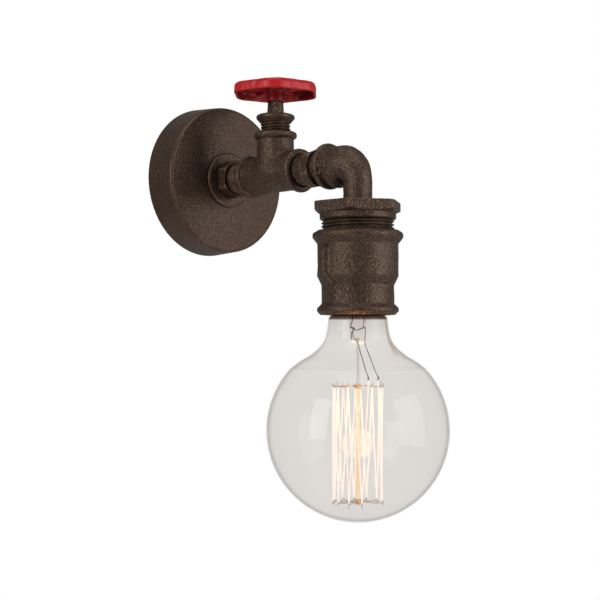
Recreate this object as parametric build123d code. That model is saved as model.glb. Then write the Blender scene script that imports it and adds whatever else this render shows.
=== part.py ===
from build123d import *
import math
import os

# Wall light made of threaded pipe fittings.
# Frame: the wall is the plane Y = 0, the light stands out along -Y, Z is up.
# The origin is the centre of the round cover, on the wall.  All millimetres.

os.makedirs("parts", exist_ok=True)

# ---------------------------------------------------------------- dimensions
REACH = 160.8            # wall to the vertical lamp axis

# round wall cover
COVER_R_WALL = 56.2
COVER_R_FRONT = 54.5
COVER_DEPTH = 25.5
COVER_SHEET = 1.5
COVER_EDGE_R = 2.2
FIX_Y = -10.0            # the two cover screws, above and below
FIX_SCREW_R = 2.0

# threads of the small pipe (straight stand-in of the taper thread)
PIPE_R = 11.0
PIPE_PITCH = 1.814
PIPE_DEPTH = 0.85
PIPE_BORE = 7.6
FIT = 0.05               # radial gap in every screwed joint

# washer under the entry nipple
WASHER_R = 20.75
WASHER_T = 2.6

# entry nipple (hexagon nipple that holds the arm to the cover)
ENTRY_AF = 25.0
ENTRY_HEX_Y = (-28.1, -37.0)
ENTRY_TAIL_Y = -15.0
ENTRY_TIP_Y = -60.5

# tee
TEE_Y = -78.3            # branch axis
TEE_HALF = 28.25
TEE_RISE = 30.05         # branch face above the run axis
TEE_BODY_R = 13.5
TEE_BRANCH_R = 13.4
TEE_BEAD_R = 15.65

# connecting nipple between tee and elbow
LINK_AF = 24.0
LINK_HEX_Y = (-116.3, -124.8)
LINK_TURN = 40.0         # degrees, how the hexagon stopped when tightened

# street elbow
ELBOW_FACE_Y = -130.6
ELBOW_BODY_R = 13.3
ELBOW_BEAD_R = 16.05
ELBOW_LEG_R = 9.95
ELBOW_BEND = 14.0
ELBOW_LEG_END = -41.0

# big reducing bushing
BUSH_AF = 54.0
BUSH_TOP = -26.8
BUSH_HEX_END = -34.6
BUSH_COLLAR_R = 26.2
BUSH_COLLAR_END = -37.4
BUSH_R = 25.0
BUSH_PITCH = 2.309
BUSH_END = -54.0
BUSH_TURN = 16.8         # degrees, hexagon corner from the view across

# reducing socket
SOCK_TOP = -45.3
SOCK_END = -103.8
SOCK_STEP = -56.0        # inner shoulder that carries the lampholder disc
SOCK_LOW_BORE = 21.3

# valve-style head
HEAD_FLANGE_R = 14.0
HEAD_TOP = 43.2
SPINDLE_R = 4.5
SQUARE_LOW = 9.46
SQUARE_TAPER = 0.0506    # half change in side per millimetre
SQUARE_Z = (43.3, 62.6)
SQUARE_TURN = -19.4

# handwheel
WHEEL_CORNER_R = 33.95   # sharp hexagon, before its corners are rounded
WHEEL_ROUND = 13.2
WHEEL_LOW = 57.0
WHEEL_TOP = 64.7
WHEEL_SHEET = 2.0
WHEEL_TURN = 43.8        # one rounded corner points this way from +X
HUB_R = 6.6
HUB_Z = (52.6, 64.2)
RIB_LOW = 60.2

# lampholder and lamp
GLOBE_R = 62.5
GLOBE_Z = -182.3
CAP_THREAD = 3.629
CAGE_R = 16.9
CAGE_Z = (-152.6, -231.0)

VIEW = -43.97            # azimuth that the fittings' hexagons were read from

LAMP = (0.0, -REACH)


# ------------------------------------------------------------------- helpers
def section(points):
    """Closed outline of (radius, height[, corner radius]) points."""
    ps = [Vector(p[0], p[1]) for p in points]
    rs = [p[2] if len(p) > 2 else 0.0 for p in points]
    n = len(ps)
    ends, arcs = [], []
    for i in range(n):
        a, b, c = ps[i - 1], ps[i], ps[(i + 1) % n]
        if rs[i] > 0:
            u, v = (a - b).normalized(), (c - b).normalized()
            half = math.acos(max(-1.0, min(1.0, u.dot(v)))) / 2
            t = rs[i] / math.tan(half)
            mid = b + (u + v).normalized() * (rs[i] / math.sin(half) - rs[i])
            ends.append((b + u * t, b + v * t))
            arcs.append((b + u * t, mid, b + v * t))
        else:
            ends.append((b, b))
            arcs.append(None)
    edges = []
    for i in range(n):
        if arcs[i]:
            edges.append(ThreePointArc(*arcs[i]))
        p, q = ends[i][1], ends[(i + 1) % n][0]
        if (q - p).length > 1e-6:
            edges.append(Line(p, q))
    return make_face(Wire(edges))


def about_z(points, at=(0.0, 0.0)):
    face = Plane.XZ * section(points)
    return Pos(at[0], at[1], 0) * revolve(face, Axis.Z, 360)


def about_y(points):
    return revolve(section(points), Axis.Y, 360)


def tube_z(r_in, r_out, z0, z1, at=(0.0, 0.0)):
    lo, hi = min(z0, z1), max(z0, z1)
    body = Pos(at[0], at[1], (lo + hi) / 2) * Cylinder(r_out, hi - lo)
    if r_in > 0:
        body -= Pos(at[0], at[1], (lo + hi) / 2) * Cylinder(r_in, hi - lo + 2)
    return body


def rod_y(r, y0, y1, x=0.0, z=0.0):
    lo, hi = min(y0, y1), max(y0, y1)
    return Pos(x, (lo + hi) / 2, z) * Rot(90, 0, 0) * Cylinder(r, hi - lo)


def rod_x(r, x0, x1, y=0.0, z=0.0):
    lo, hi = min(x0, x1), max(x0, x1)
    return Pos((lo + hi) / 2, y, z) * Rot(0, 90, 0) * Cylinder(r, hi - lo)


def thread_out(r, depth, pitch, a0, a1):
    """Crest and root points from a0 to a1, rings standing in for a helix."""
    step = 1 if a1 > a0 else -1
    turns = int(abs(a1 - a0) / pitch)
    slack = (abs(a1 - a0) - turns * pitch) / 2
    pts = [(r - depth * 0.5, a0)]
    for k in range(turns):
        base = a0 + step * (slack + k * pitch)
        pts.append((r - depth, base + step * 0.06 * pitch))
        pts.append((r, base + step * 0.46 * pitch))
        pts.append((r, base + step * 0.60 * pitch))
    pts.append((r - depth, a1 - step * slack * 0.5))
    pts.append((r - depth, a1))
    return pts


def hexagon_y(af, y0, y1, turn, chamfer_r, slope=0.5):
    """Hexagon along Y with both ends chamfered; turn 0 has flats at +-X."""
    lo, hi = min(y0, y1), max(y0, y1)
    corner = af / math.sqrt(3)
    flat = Plane(origin=(0, hi, 0), x_dir=(0, 0, 1), z_dir=(0, -1, 0))
    prism = extrude(flat * Rot(0, 0, turn) * RegularPolygon(corner, 6), hi - lo)
    drop = (corner - chamfer_r) * slope
    cone = about_y([(0, lo), (chamfer_r, lo), (corner + 0.01, lo + drop),
                    (corner + 0.01, hi - drop), (chamfer_r, hi), (0, hi)])
    return prism & cone


def hexagon_z(af, z0, z1, turn, at=(0.0, 0.0), chamfer_r=None, slope=0.5):
    lo, hi = min(z0, z1), max(z0, z1)
    corner = af / math.sqrt(3)
    prism = Pos(at[0], at[1], lo) * extrude(
        Rot(0, 0, turn) * RegularPolygon(corner, 6), hi - lo)
    if chamfer_r:
        drop = (corner - chamfer_r) * slope
        prism &= about_z([(0, lo), (chamfer_r, lo), (corner + 0.01, lo + drop),
                          (corner + 0.01, hi - drop), (chamfer_r, hi), (0, hi)], at)
    return prism


def polar(r, deg, z=0.0, at=(0.0, 0.0)):
    a = math.radians(deg)
    return (at[0] + r * math.cos(a), at[1] + r * math.sin(a), z)


made = {}


def keep(name, shape):
    solids = shape.solids()
    made[name] = solids[0] if len(solids) == 1 else Compound(children=list(solids))
    export_step(made[name], "parts/" + name + ".step")


# ------------------------------------------------------------- wall cover set
slope = (COVER_R_WALL - COVER_R_FRONT) / COVER_DEPTH
t = COVER_SHEET
cover = about_y([
    (PIPE_R + 0.15, -COVER_DEPTH),
    (COVER_R_FRONT, -COVER_DEPTH, COVER_EDGE_R),
    (COVER_R_WALL, 0, 0.4),
    (COVER_R_WALL - t, 0, 0.4),
    (COVER_R_FRONT - t + slope * t, -COVER_DEPTH + t, COVER_EDGE_R - t + 0.5),
    (PIPE_R + 0.15, -COVER_DEPTH + t)])
for s in (1, -1):
    cover -= Pos(0, FIX_Y, s * 55) * Cylinder(FIX_SCREW_R + 0.1, 12)
keep("wall_cover", cover)

# steel strap on the wall with a turned-out ear above and below
strap = Pos(0, -0.9, 0) * Box(20, 1.8, 107.0)
strap &= rod_y(53.2, 0.0, -1.8)
for s in (1, -1):
    strap += Pos(0, -8.1, s * 52.35) * Box(12, 13.8, 1.7)
strap -= rod_y(9.0, 1, -4)
for s in (1, -1):
    strap -= Pos(0, -0.9, s * 35) * Rot(90, 0, 0) * (
        extrude(Rot(0, 0, 90) * SlotOverall(12.0, 4.6), 4, both=True))
    strap -= Pos(0, FIX_Y, s * 52) * Cylinder(FIX_SCREW_R + FIT, 6)
EARTH_AT = (0.0, -19.5)
strap -= rod_y(2.05, 1, -4, EARTH_AT[0], EARTH_AT[1])
TB_AT = (0.0, 19.3)      # middle of the terminal block
TB_FIX_Z = TB_AT[1] + 2.2
strap -= rod_y(1.55, 1, -4, TB_AT[0], TB_FIX_Z)
keep("wall_strap", strap)

grubs = []
for s in (1, -1):
    g = Pos(0, FIX_Y, s * 52.8) * Cylinder(FIX_SCREW_R, 5.0)
    key = Pos(0, FIX_Y, s * 54.6) * extrude(RegularPolygon(1.15, 6), 1.6, both=True)
    grubs.append(g - key)
keep("cover_screws", Compound(children=grubs))

# washer, entry nipple, lock nut and earth tag
washer = about_y([
    (PIPE_R + 0.15, -COVER_DEPTH),
    (WASHER_R, -COVER_DEPTH, 0.5),
    (WASHER_R, -COVER_DEPTH - WASHER_T, 1.3),
    (PIPE_R + 0.15, -COVER_DEPTH - WASHER_T)])
keep("entry_washer", washer)

y0, y1 = ENTRY_HEX_Y
entry = about_y([(PIPE_BORE, ENTRY_TAIL_Y)] +
                [(PIPE_R - 0.9, ENTRY_TAIL_Y)] +
                thread_out(PIPE_R, PIPE_DEPTH, PIPE_PITCH, ENTRY_TAIL_Y - 0.6, y0) +
                [(PIPE_R - 0.6, y1)] +
                thread_out(PIPE_R, PIPE_DEPTH, PIPE_PITCH, y1 - 0.1, ENTRY_TIP_Y + 0.6) +
                [(PIPE_R - 0.9, ENTRY_TIP_Y), (PIPE_BORE, ENTRY_TIP_Y)])
entry += hexagon_y(ENTRY_AF, y0, y1, 0, 12.6) - rod_y(PIPE_BORE, y0 + 5, y1 - 5)
keep("entry_nipple", entry)

tag_y = -COVER_DEPTH + t
tag = rod_y(15.0, tag_y, tag_y + 0.8)
tag += Pos(-19.0, tag_y + 0.4, 0) * Box(14, 0.8, 6.0)
tag -= rod_y(PIPE_R + 0.15, tag_y - 2, tag_y + 3)
keep("earth_tag", tag)

nut = hexagon_y(30.0, tag_y + 0.8, tag_y + 5.8, 11, 14.8)
nut -= rod_y(PIPE_R + FIT, tag_y - 2, tag_y + 9)
keep("lock_nut", nut)

# terminal block with its clamps and screws, earth screw on the strap
TB_Y = (-1.85, -13.6)
TB_LEN = 15.0
block = Pos(TB_AT[0], (TB_Y[0] + TB_Y[1]) / 2, TB_AT[1]) * Box(27, TB_Y[0] - TB_Y[1], TB_LEN)
block = fillet(block.edges().filter_by(Axis.Y), 1.0)
# waist between the three ways
for x in (-4.5, 4.5):
    block -= Pos(x, TB_Y[1] + 1.5, TB_AT[1]) * Box(1.4, 4.0, TB_LEN + 2)
ways = (-9.0, 0.0, 9.0)
for x in (-9.0, 9.0):
    block -= Pos(x, -8.0, TB_AT[1]) * Cylinder(2.35, TB_LEN + 2)
block -= Pos(0, -8.6, TB_AT[1] - 5.0) * Cylinder(2.35, TB_LEN - 6.0)
for x in ways:
    for dz in (-4.2, 4.2):
        if x == 0.0 and dz > 0:
            continue
        block -= rod_y(1.6, -9.0, -15, x, TB_AT[1] + dz)
block -= rod_y(1.6, -1, -15, TB_AT[0], TB_FIX_Z)
block -= rod_y(2.9, -6.0, -15, TB_AT[0], TB_FIX_Z)
keep("terminal_block", block)

clamps, clamp_screws = [], []
for x in ways:
    if x == 0.0:
        zc, zl, yc, dzs = TB_AT[1] - 4.6, 6.4, -8.6, (-4.2,)
    else:
        zc, zl, yc, dzs = TB_AT[1], 12.6, -8.0, (-4.2, 4.2)
    c = Pos(x, yc, zc) * (Cylinder(2.25, zl) - Cylinder(1.35, zl + 2))
    for dz in dzs:
        c -= rod_y(1.3, yc, yc - 4, x, TB_AT[1] + dz)
        s = rod_y(1.25, yc - 1.45, yc - 4.4, x, TB_AT[1] + dz)
        s -= Pos(x, yc - 4.4, TB_AT[1] + dz) * Box(3, 1.0, 0.5)
        clamp_screws.append(s)
    clamps.append(c)
keep("terminal_clamps", Compound(children=clamps))
keep("terminal_screws", Compound(children=clamp_screws))

fix = rod_y(1.5, -0.3, -6.2, TB_AT[0], TB_FIX_Z)
fix += rod_y(2.7, -6.05, -7.6, TB_AT[0], TB_FIX_Z)
fix -= Pos(TB_AT[0], -7.6, TB_FIX_Z) * Box(0.6, 1.4, 6)
keep("block_screw", fix)

# earth screw with its washer, for the supply's earth wire
earth_screw = rod_y(2.0, -0.3, -3.2, *EARTH_AT)
pan = about_y([(0, -2.75), (3.8, -2.75), (3.8, -4.0, 0.3), (2.6, -5.3, 0.8), (0, -5.3)])
earth_screw += Pos(EARTH_AT[0], 0, EARTH_AT[1]) * pan
earth_screw -= Pos(EARTH_AT[0], -5.3, EARTH_AT[1]) * Box(0.9, 2.0, 8)
keep("earth_screw", earth_screw)
keep("earth_screw_washer", rod_y(4.6, -1.82, -2.72, *EARTH_AT) - rod_y(2.15, 0, -5, *EARTH_AT))

# ------------------------------------------------------------------- the tee
def bead(edge, inner, body, bead_r):
    """Rounded reinforcing band at a mouth; edge is the face, inner the root."""
    d = edge - inner
    return [(body * 0.86, edge), (bead_r - 2.2, edge, 0.4),
            (bead_r, edge - d * 0.34, 0.9), (bead_r, edge - d * 0.62, 0.9),
            (body - 0.3, inner), (body * 0.86, inner)]


a, b = TEE_Y + TEE_HALF, TEE_Y - TEE_HALF
tee = rod_y(TEE_BODY_R, a, b) + tube_z(0, TEE_BRANCH_R, 0, TEE_RISE, (0, TEE_Y))
tee = fillet([e for e in tee.edges() if e.geom_type == GeomType.BSPLINE], 3.2)
tee += about_y(bead(a, a - 4.6, TEE_BODY_R, TEE_BEAD_R))
tee += about_y(bead(b, b + 4.6, TEE_BODY_R, TEE_BEAD_R))
tee += about_z(bead(TEE_RISE, TEE_RISE - 4.6, TEE_BRANCH_R, TEE_BEAD_R), (0, TEE_Y))
tee -= rod_y(9.4, a + 1, b - 1)
tee -= tube_z(0, 9.4, 0, TEE_RISE + 1, (0, TEE_Y))
mouth = [(0, 1), (PIPE_R + 0.75, 1), (PIPE_R + 0.75, 0), (PIPE_R + FIT, -0.8),
         (PIPE_R + FIT, -12.0), (9.4, -13.2), (0, -13.2)]
tee -= about_y([(r, a + h) for r, h in mouth])
tee -= about_y([(r, b - h) for r, h in mouth])
tee -= about_z([(r, TEE_RISE + h) for r, h in mouth], (0, TEE_Y))
keep("tee", tee)

# ----------------------------------------------- valve-style head and spindle
AT = (0, TEE_Y)
bonnet = about_z(
    [(8.2, 19.2), (PIPE_R - 0.9, 19.2)] +
    thread_out(PIPE_R, PIPE_DEPTH, PIPE_PITCH, 19.8, 36.6) +
    [(PIPE_R + 0.35, 37.0),
     (HEAD_FLANGE_R - 0.6, 39.6, 0.8), (HEAD_FLANGE_R, 40.6, 0.6),
     (HEAD_FLANGE_R - 0.5, 42.4, 1.0), (HEAD_FLANGE_R - 3.0, HEAD_TOP, 0.6),
     (SPINDLE_R + 0.06, HEAD_TOP), (SPINDLE_R + 0.06, 33.9), (8.2, 33.9)], AT)
keep("bonnet", bonnet)

sz0, sz1 = SQUARE_Z
side1 = SQUARE_LOW - 2 * SQUARE_TAPER * (sz1 - sz0)
square = loft([Pos(0, TEE_Y, sz0) * Rot(0, 0, SQUARE_TURN) * Rectangle(SQUARE_LOW, SQUARE_LOW),
               Pos(0, TEE_Y, sz1) * Rot(0, 0, SQUARE_TURN) * Rectangle(side1, side1)])
shank = about_z([(0, 30.0), (SPINDLE_R - 0.6, 30.0), (SPINDLE_R, 30.6),
                 (SPINDLE_R, 32.15), (SPINDLE_R - 0.65, 32.15),
                 (SPINDLE_R - 0.65, 33.05), (SPINDLE_R, 33.05),
                 (SPINDLE_R, sz0), (0, sz0)], AT)
tip = about_z([(0, sz1), (2.95, sz1)] +
              [(r, z) for r, z in thread_out(2.95, 0.5, 1.0, sz1 + 0.2, 68.9)] +
              [(2.3, 69.3), (0, 69.3)], AT)
keep("spindle", shank + square + tip)

ring = tube_z(SPINDLE_R - 0.6, 6.6, 32.2, 33.0, AT)
ring -= Pos(5.5, TEE_Y, 32.6) * Box(7, 5.6, 3)
keep("spindle_clip", ring)
keep("spindle_washer", tube_z(SPINDLE_R + 0.12, 7.6, 33.05, 33.85, AT))

# ----------------------------------------------------------------- handwheel
def hex_plate(corner, rounding, z0, z1):
    flat = fillet(RegularPolygon(corner, 6).vertices(), rounding)
    return Pos(0, TEE_Y, z0) * Rot(0, 0, WHEEL_TURN) * extrude(flat, z1 - z0)


rim = hex_plate(WHEEL_CORNER_R, WHEEL_ROUND, WHEEL_LOW, WHEEL_TOP)
rim = fillet(rim.edges().group_by(Axis.Z)[-1], 2.6)
inner = WHEEL_SHEET * 2 / math.sqrt(3)
rim -= hex_plate(WHEEL_CORNER_R - inner, WHEEL_ROUND - WHEEL_SHEET, WHEEL_LOW - 1, WHEEL_TOP - 1.9)
# shallow dish on top around the hub
rim -= about_z([(0, WHEEL_TOP - 0.7), (12.5, WHEEL_TOP - 0.7), (19.0, WHEEL_TOP + 0.01), (0, WHEEL_TOP + 0.01)], AT)
hub = about_z([(0, HUB_Z[0]), (HUB_R - 0.5, HUB_Z[0], 0.5), (HUB_R, 59.2), (HUB_R, 63.4),
               (HUB_R - 0.8, HUB_Z[1], 0.4), (0, HUB_Z[1])], AT)
wheel = rim + hub
# a window under each corner and a rib between the windows
for k in range(6):
    window = Polygon((8.4, -2.6), (17.6, -5.0), (17.6, 5.0), (8.4, 2.6), align=None)
    window = fillet(window.vertices(), 1.3)
    wheel -= Pos(0, TEE_Y, WHEEL_TOP - 1) * Rot(0, 0, WHEEL_TURN + 60 * k) * extrude(window, 4, both=True)
    flat = (WHEEL_CORNER_R - inner) * math.sqrt(3) / 2
    rib = Pos((HUB_R - 0.6 + flat + 0.5) / 2, 0, (RIB_LOW + WHEEL_TOP - 1.5) / 2) * Box(
        flat + 0.5 - HUB_R + 0.6, 2.4, WHEEL_TOP - 1.5 - RIB_LOW)
    wheel += Pos(0, TEE_Y, 0) * Rot(0, 0, WHEEL_TURN + 30 + 60 * k) * rib
grow = 0.06
socket = loft([Pos(0, TEE_Y, sz0) * Rot(0, 0, SQUARE_TURN) * Rectangle(SQUARE_LOW + grow, SQUARE_LOW + grow),
               Pos(0, TEE_Y, sz1 + 2) * Rot(0, 0, SQUARE_TURN) * Rectangle(
                   side1 - 4 * SQUARE_TAPER + grow, side1 - 4 * SQUARE_TAPER + grow)])
wheel -= socket
keep("handwheel", wheel)
keep("wheel_washer", tube_z(3.1, 6.0, HUB_Z[1], HUB_Z[1] + 0.9, AT))
wheel_nut = hexagon_z(10.0, HUB_Z[1] + 0.9, 68.6, 7, AT, 4.9) - tube_z(0, 3.0, 60, 70, AT)
keep("wheel_nut", wheel_nut)

# ------------------------------------------------------- nipple tee to elbow
h0, h1 = LINK_HEX_Y
link = about_y(
    [(PIPE_BORE, b + 10.6), (PIPE_R - 0.9, b + 10.6)] +
    thread_out(PIPE_R, PIPE_DEPTH, PIPE_PITCH, b + 10.0, b - 0.8) +
    [(PIPE_R + 0.4, b - 0.9, 0.3), (PIPE_R + 0.4, h0 + 0.1), (PIPE_R - 0.9, h0 - 0.1),
     (PIPE_R - 0.9, h1 - 0.4)] +
    thread_out(PIPE_R, PIPE_DEPTH, PIPE_PITCH, h1 - 0.5, ELBOW_FACE_Y - 10.4) +
    [(PIPE_R - 0.9, ELBOW_FACE_Y - 11.0), (PIPE_BORE, ELBOW_FACE_Y - 11.0)])
link += hexagon_y(LINK_AF, h0, h1, 30 - LINK_TURN, 12.2) - rod_y(PIPE_BORE, h0 + 5, h1 - 5)
keep("link_nipple", link)

# --------------------------------------------------------------- the elbow
def along_bend(deg, r):
    """Circle on the bend; 0 is the horizontal end, 90 the vertical end."""
    p = math.radians(deg)
    y = -REACH + ELBOW_BEND - ELBOW_BEND * math.sin(p)
    z = -ELBOW_BEND + ELBOW_BEND * math.cos(p)
    return Plane(origin=(0, y, z), x_dir=(1, 0, 0),
                 z_dir=(0, -math.cos(p), -math.sin(p))) * Circle(r)


rings = [along_bend(d, ELBOW_BODY_R + (ELBOW_LEG_R - ELBOW_BODY_R) * d / 90)
         for d in (0, 22.5, 45, 67.5, 90)]
bend = loft(rings)
elbow = bend + rod_y(ELBOW_BODY_R, ELBOW_FACE_Y, -REACH + ELBOW_BEND)
elbow += about_y(bead(ELBOW_FACE_Y, ELBOW_FACE_Y - 5.2, ELBOW_BODY_R, ELBOW_BEAD_R))
elbow += tube_z(0, ELBOW_LEG_R, ELBOW_LEG_END + 0.8, -ELBOW_BEND, LAMP)
elbow += about_z([(0, ELBOW_LEG_END), (ELBOW_LEG_R - 0.8, ELBOW_LEG_END),
                  (ELBOW_LEG_R, ELBOW_LEG_END + 0.8), (0, ELBOW_LEG_END + 0.8)], LAMP)
elbow -= about_y([(0, ELBOW_FACE_Y + 1), (PIPE_R + 0.75, ELBOW_FACE_Y + 1),
                  (PIPE_R + 0.75, ELBOW_FACE_Y), (PIPE_R + FIT, ELBOW_FACE_Y - 0.8),
                  (PIPE_R + FIT, ELBOW_FACE_Y - 12.4), (PIPE_BORE, ELBOW_FACE_Y - 14.0),
                  (0, ELBOW_FACE_Y - 14.0)])
bore = sweep(along_bend(0, PIPE_BORE - 0.4), path=Edge.make_three_point_arc(
    Vector(0, -REACH + ELBOW_BEND, 0),
    Vector(0, -REACH + ELBOW_BEND * (1 - math.sin(math.pi / 4)),
           -ELBOW_BEND * (1 - math.cos(math.pi / 4))),
    Vector(0, -REACH, -ELBOW_BEND)))
elbow -= bore
elbow -= rod_y(PIPE_BORE - 0.4, ELBOW_FACE_Y - 13.5, -REACH + ELBOW_BEND)
elbow -= tube_z(0, PIPE_BORE - 0.4, ELBOW_LEG_END - 1, -ELBOW_BEND, LAMP)
keep("street_elbow", elbow)

# ------------------------------------------------------ bushing and socket
# hexagon corner angle, read across the view direction
bush_turn = VIEW + 180 + BUSH_TURN
bush = about_z(
    [(ELBOW_LEG_R + FIT, BUSH_TOP), (BUSH_COLLAR_R - 1, BUSH_TOP),
     (BUSH_COLLAR_R - 1, BUSH_HEX_END), (BUSH_COLLAR_R, BUSH_HEX_END - 0.6),
     (BUSH_COLLAR_R, BUSH_COLLAR_END + 0.5, 0.5), (BUSH_R - 0.6, BUSH_COLLAR_END)] +
    thread_out(BUSH_R, 1.25, BUSH_PITCH, BUSH_COLLAR_END - 0.1, BUSH_END + 0.7) +
    [(BUSH_R - 1.4, BUSH_END), (20.5, BUSH_END), (20.5, -45.5), (ELBOW_LEG_R + FIT, -43.0)],
    LAMP)
hexa = hexagon_z(BUSH_AF, BUSH_TOP, BUSH_HEX_END, bush_turn, LAMP)
under = about_z([(0, BUSH_TOP), (40, BUSH_TOP), (40, BUSH_TOP - 5.2), (31.3, BUSH_TOP - 5.9),
                 (26.4, BUSH_HEX_END), (0, BUSH_HEX_END)], LAMP)
hexa = (hexa & under) - tube_z(0, ELBOW_LEG_R + FIT, BUSH_TOP + 1, BUSH_HEX_END - 1, LAMP)
keep("reducing_bushing", bush + hexa)

sock = about_z([
    (BUSH_R + 0.9, SOCK_TOP),
    (BUSH_R + FIT, SOCK_TOP - 0.9), (BUSH_R + FIT, SOCK_STEP),
    (SOCK_LOW_BORE, SOCK_STEP), (SOCK_LOW_BORE, -101.6),
    (SOCK_LOW_BORE - 0.4, SOCK_END, 0.6),
    (25.4, SOCK_END, 1.6), (27.9, -101.3, 1.3), (27.75, -99.4, 1.2),
    (24.75, -95.6, 1.6), (24.75, -83.6, 2.4), (27.65, -77.4, 2.4),
    (27.65, -55.2, 2.2), (31.05, -50.2, 1.6), (30.6, -47.6, 1.6), (27.2, SOCK_TOP, 1.0)], LAMP)
keep("reducing_socket", sock)

# --------------------------------------------------------------- lampholder
keep("holder_disc", tube_z(5.1, 24.7, BUSH_END, SOCK_STEP, LAMP))
stud = about_z([(3.7, -47.5), (4.5, -47.5), (5.0, -48.1), (5.0, -60.8), (4.5, -61.3), (3.7, -61.3)], LAMP)
keep("holder_stud", stud)
nuts = []
for z0_, z1_ in ((BUSH_END, BUSH_END + 3.0), (SOCK_STEP, SOCK_STEP - 2.6)):
    nuts.append(hexagon_z(15.0, z0_, z1_, 12, LAMP, 7.4) - tube_z(0, 5.03, z0_ - 4, z1_ + 4, LAMP))
keep("holder_nuts", Compound(children=nuts))

hood = about_z([(5.05, -58.8), (15.0, -58.8, 0.6), (19.0, -63.4, 2.2), (19.0, -70.0),
                (16.0, -70.0), (16.0, -64.4, 2.0), (13.2, -61.4, 1.0), (5.05, -61.4)], LAMP)
body = about_z([(0, -70.0), (19.0, -70.0), (19.0, -100.6, 0.8), (14.75, -100.6), (14.75, -74.0), (0, -74.0)], LAMP)
TIE = 12.6
tie_screws = []
for s in (1, -1):
    at = (0, -REACH + s * TIE)
    hood -= tube_z(0, 1.5, -57, -72, at)
    hood -= tube_z(0, 2.7, -57, -60.2, at)
    body -= tube_z(0, 1.5, -69, -73.2, at)
    scr = tube_z(0, 2.6, -58.9, -60.15, at) + tube_z(0, 1.45, -60.1, -73.0, at)
    scr -= Pos(at[0], at[1], -58.9) * Box(0.7, 6, 1.2)
    tie_screws.append(scr)
keep("holder_tie_screws", Compound(children=tie_screws))

# terminals: live on the centre contact, neutral on the screw shell
posts, post_screws = [], []
for s in (1, -1):
    post = Pos(s * 9.0, -REACH, -67.0) * Box(6.0, 6.4, 6.0)
    post -= tube_z(0, 1.25, -63, -67.6, (s * 9.0, -REACH + 0.9))
    post -= Pos(s * 9.0, -REACH - 2.0, -65.6) * Rot(90, 0, 0) * Cylinder(1.3, 4.2)
    posts.append(post)
    sc = Pos(s * 9.0, -REACH - 2.45, -65.6) * Rot(90, 0, 0) * Cylinder(1.25, 4.3)
    sc += Pos(s * 9.0, -REACH - 4.85, -65.6) * Rot(90, 0, 0) * Cylinder(2.1, 1.3)
    sc -= Pos(s * 9.0, -REACH - 5.5, -65.6) * Box(5, 1.0, 0.6)
    post_screws.append(sc)
    body -= tube_z(0, 1.1, -69, -75, (s * 9.0, -REACH))
keep("holder_terminals", Compound(children=posts))
keep("holder_terminal_screws", Compound(children=post_screws))
keep("holder_hood", hood)
keep("holder_body", body)


def wave(r_low, r_high, z_top, z_end):
    """Rounded E27 thread, crest and root points down a cap or a shell."""
    pts = []
    z = z_top
    up = True
    n = int((z_top - z_end) / (CAP_THREAD / 2))
    for k in range(n + 1):
        pts.append((r_high if k % 2 else r_low, z_top - k * CAP_THREAD / 2, 0.75))
    return pts


# thin screw shell with an inward lip riveted under the plate
zt, n_half = -79.0, 10
outer = [(r + 0.35, z, 0.75) for r, z, _ in wave(13.2, 14.2, zt, zt - n_half * CAP_THREAD / 2)]
inner_pts = [(r, z, 0.75) for r, z, _ in wave(13.2, 14.2, zt, zt - n_half * CAP_THREAD / 2)]
shell = about_z([(7.4, -74.0), (14.2, -74.0, 0.9)] + [(14.2, -77.8)] + outer + [(13.55, -99.6), (13.2, -99.6)] +
                inner_pts[::-1] + [(13.75, -77.6), (13.75, -74.45, 0.5), (7.4, -74.45)], LAMP)
shell -= Pos(9.0, -REACH, -74.2) * Box(9.4, 9.0, 1.2)
shell -= tube_z(0, 1.1, -73, -75, (-9.0, -REACH))
keep("holder_screw_shell", shell)

leaf = Pos(5.6, -REACH, -74.2) * Box(10.4, 4.4, 0.4) - tube_z(0, 1.1, -73, -76, (9.0, -REACH))
tongue = Plane.XZ * make_face(Polyline((2.0, -74.02), (-0.8, -75.45), (-3.6, -75.45),
                                       (-3.6, -75.88), (-1.0, -75.88), (2.0, -74.40), close=True))
leaf += Pos(0, -REACH, 0) * extrude(tongue, 2.2, both=True)
keep("holder_contact_leaf", leaf)

rivets = []
for s in (1, -1):
    rv = tube_z(0, 1.05, -70.0, -74.9, (s * 9.0, -REACH))
    rv += tube_z(0, 1.9, -74.45, -75.0, (s * 9.0, -REACH))
    rivets.append(rv)
keep("holder_rivets", Compound(children=rivets))

# ---------------------------------------------------------------- wires
def stranded(points, radii, wire_r=1.1):
    path = FilletPolyline(*points, radius=radii)
    first = Vector(*points[1]) - Vector(*points[0])
    return sweep(Plane(origin=points[0], z_dir=first) * Circle(wire_r), path=path)


for name, sx in (("live_wire", 1), ("neutral_wire", -1)):
    off = 1.5 * sx
    pts = [(9.0 * sx, -8.0, 17.6), (9.0 * sx, -8.0, 7.0), (off, -18.0, 0.0),
           (off, -REACH, 0.0), (off, -REACH, -62.6), (9.0 * sx, -REACH + 0.9, -62.6),
           (9.0 * sx, -REACH + 0.9, -67.2)]
    radii = [4.0, 5.0, ELBOW_BEND - 2.0, 1.2, 1.2]
    made_wire = stranded(pts, radii)
    length = sum((Vector(*q) - Vector(*p)).length for p, q in zip(pts, pts[1:]))
    print(name, "runs", round(length, 1), "volume/section",
          round(made_wire.volume / (math.pi * 1.1 ** 2), 1), "radii", radii)
    keep(name, made_wire)

# earth wire from the block to the tag under the lock nut
earth = stranded([(0.0, -8.6, 13.0), (0.0, -8.6, 3.0), (-22.4, -8.6, 0.0), (-22.4, -23.15, 0.0)],
                 [3.6, 5.0])
keep("earth_wire", earth)

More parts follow.
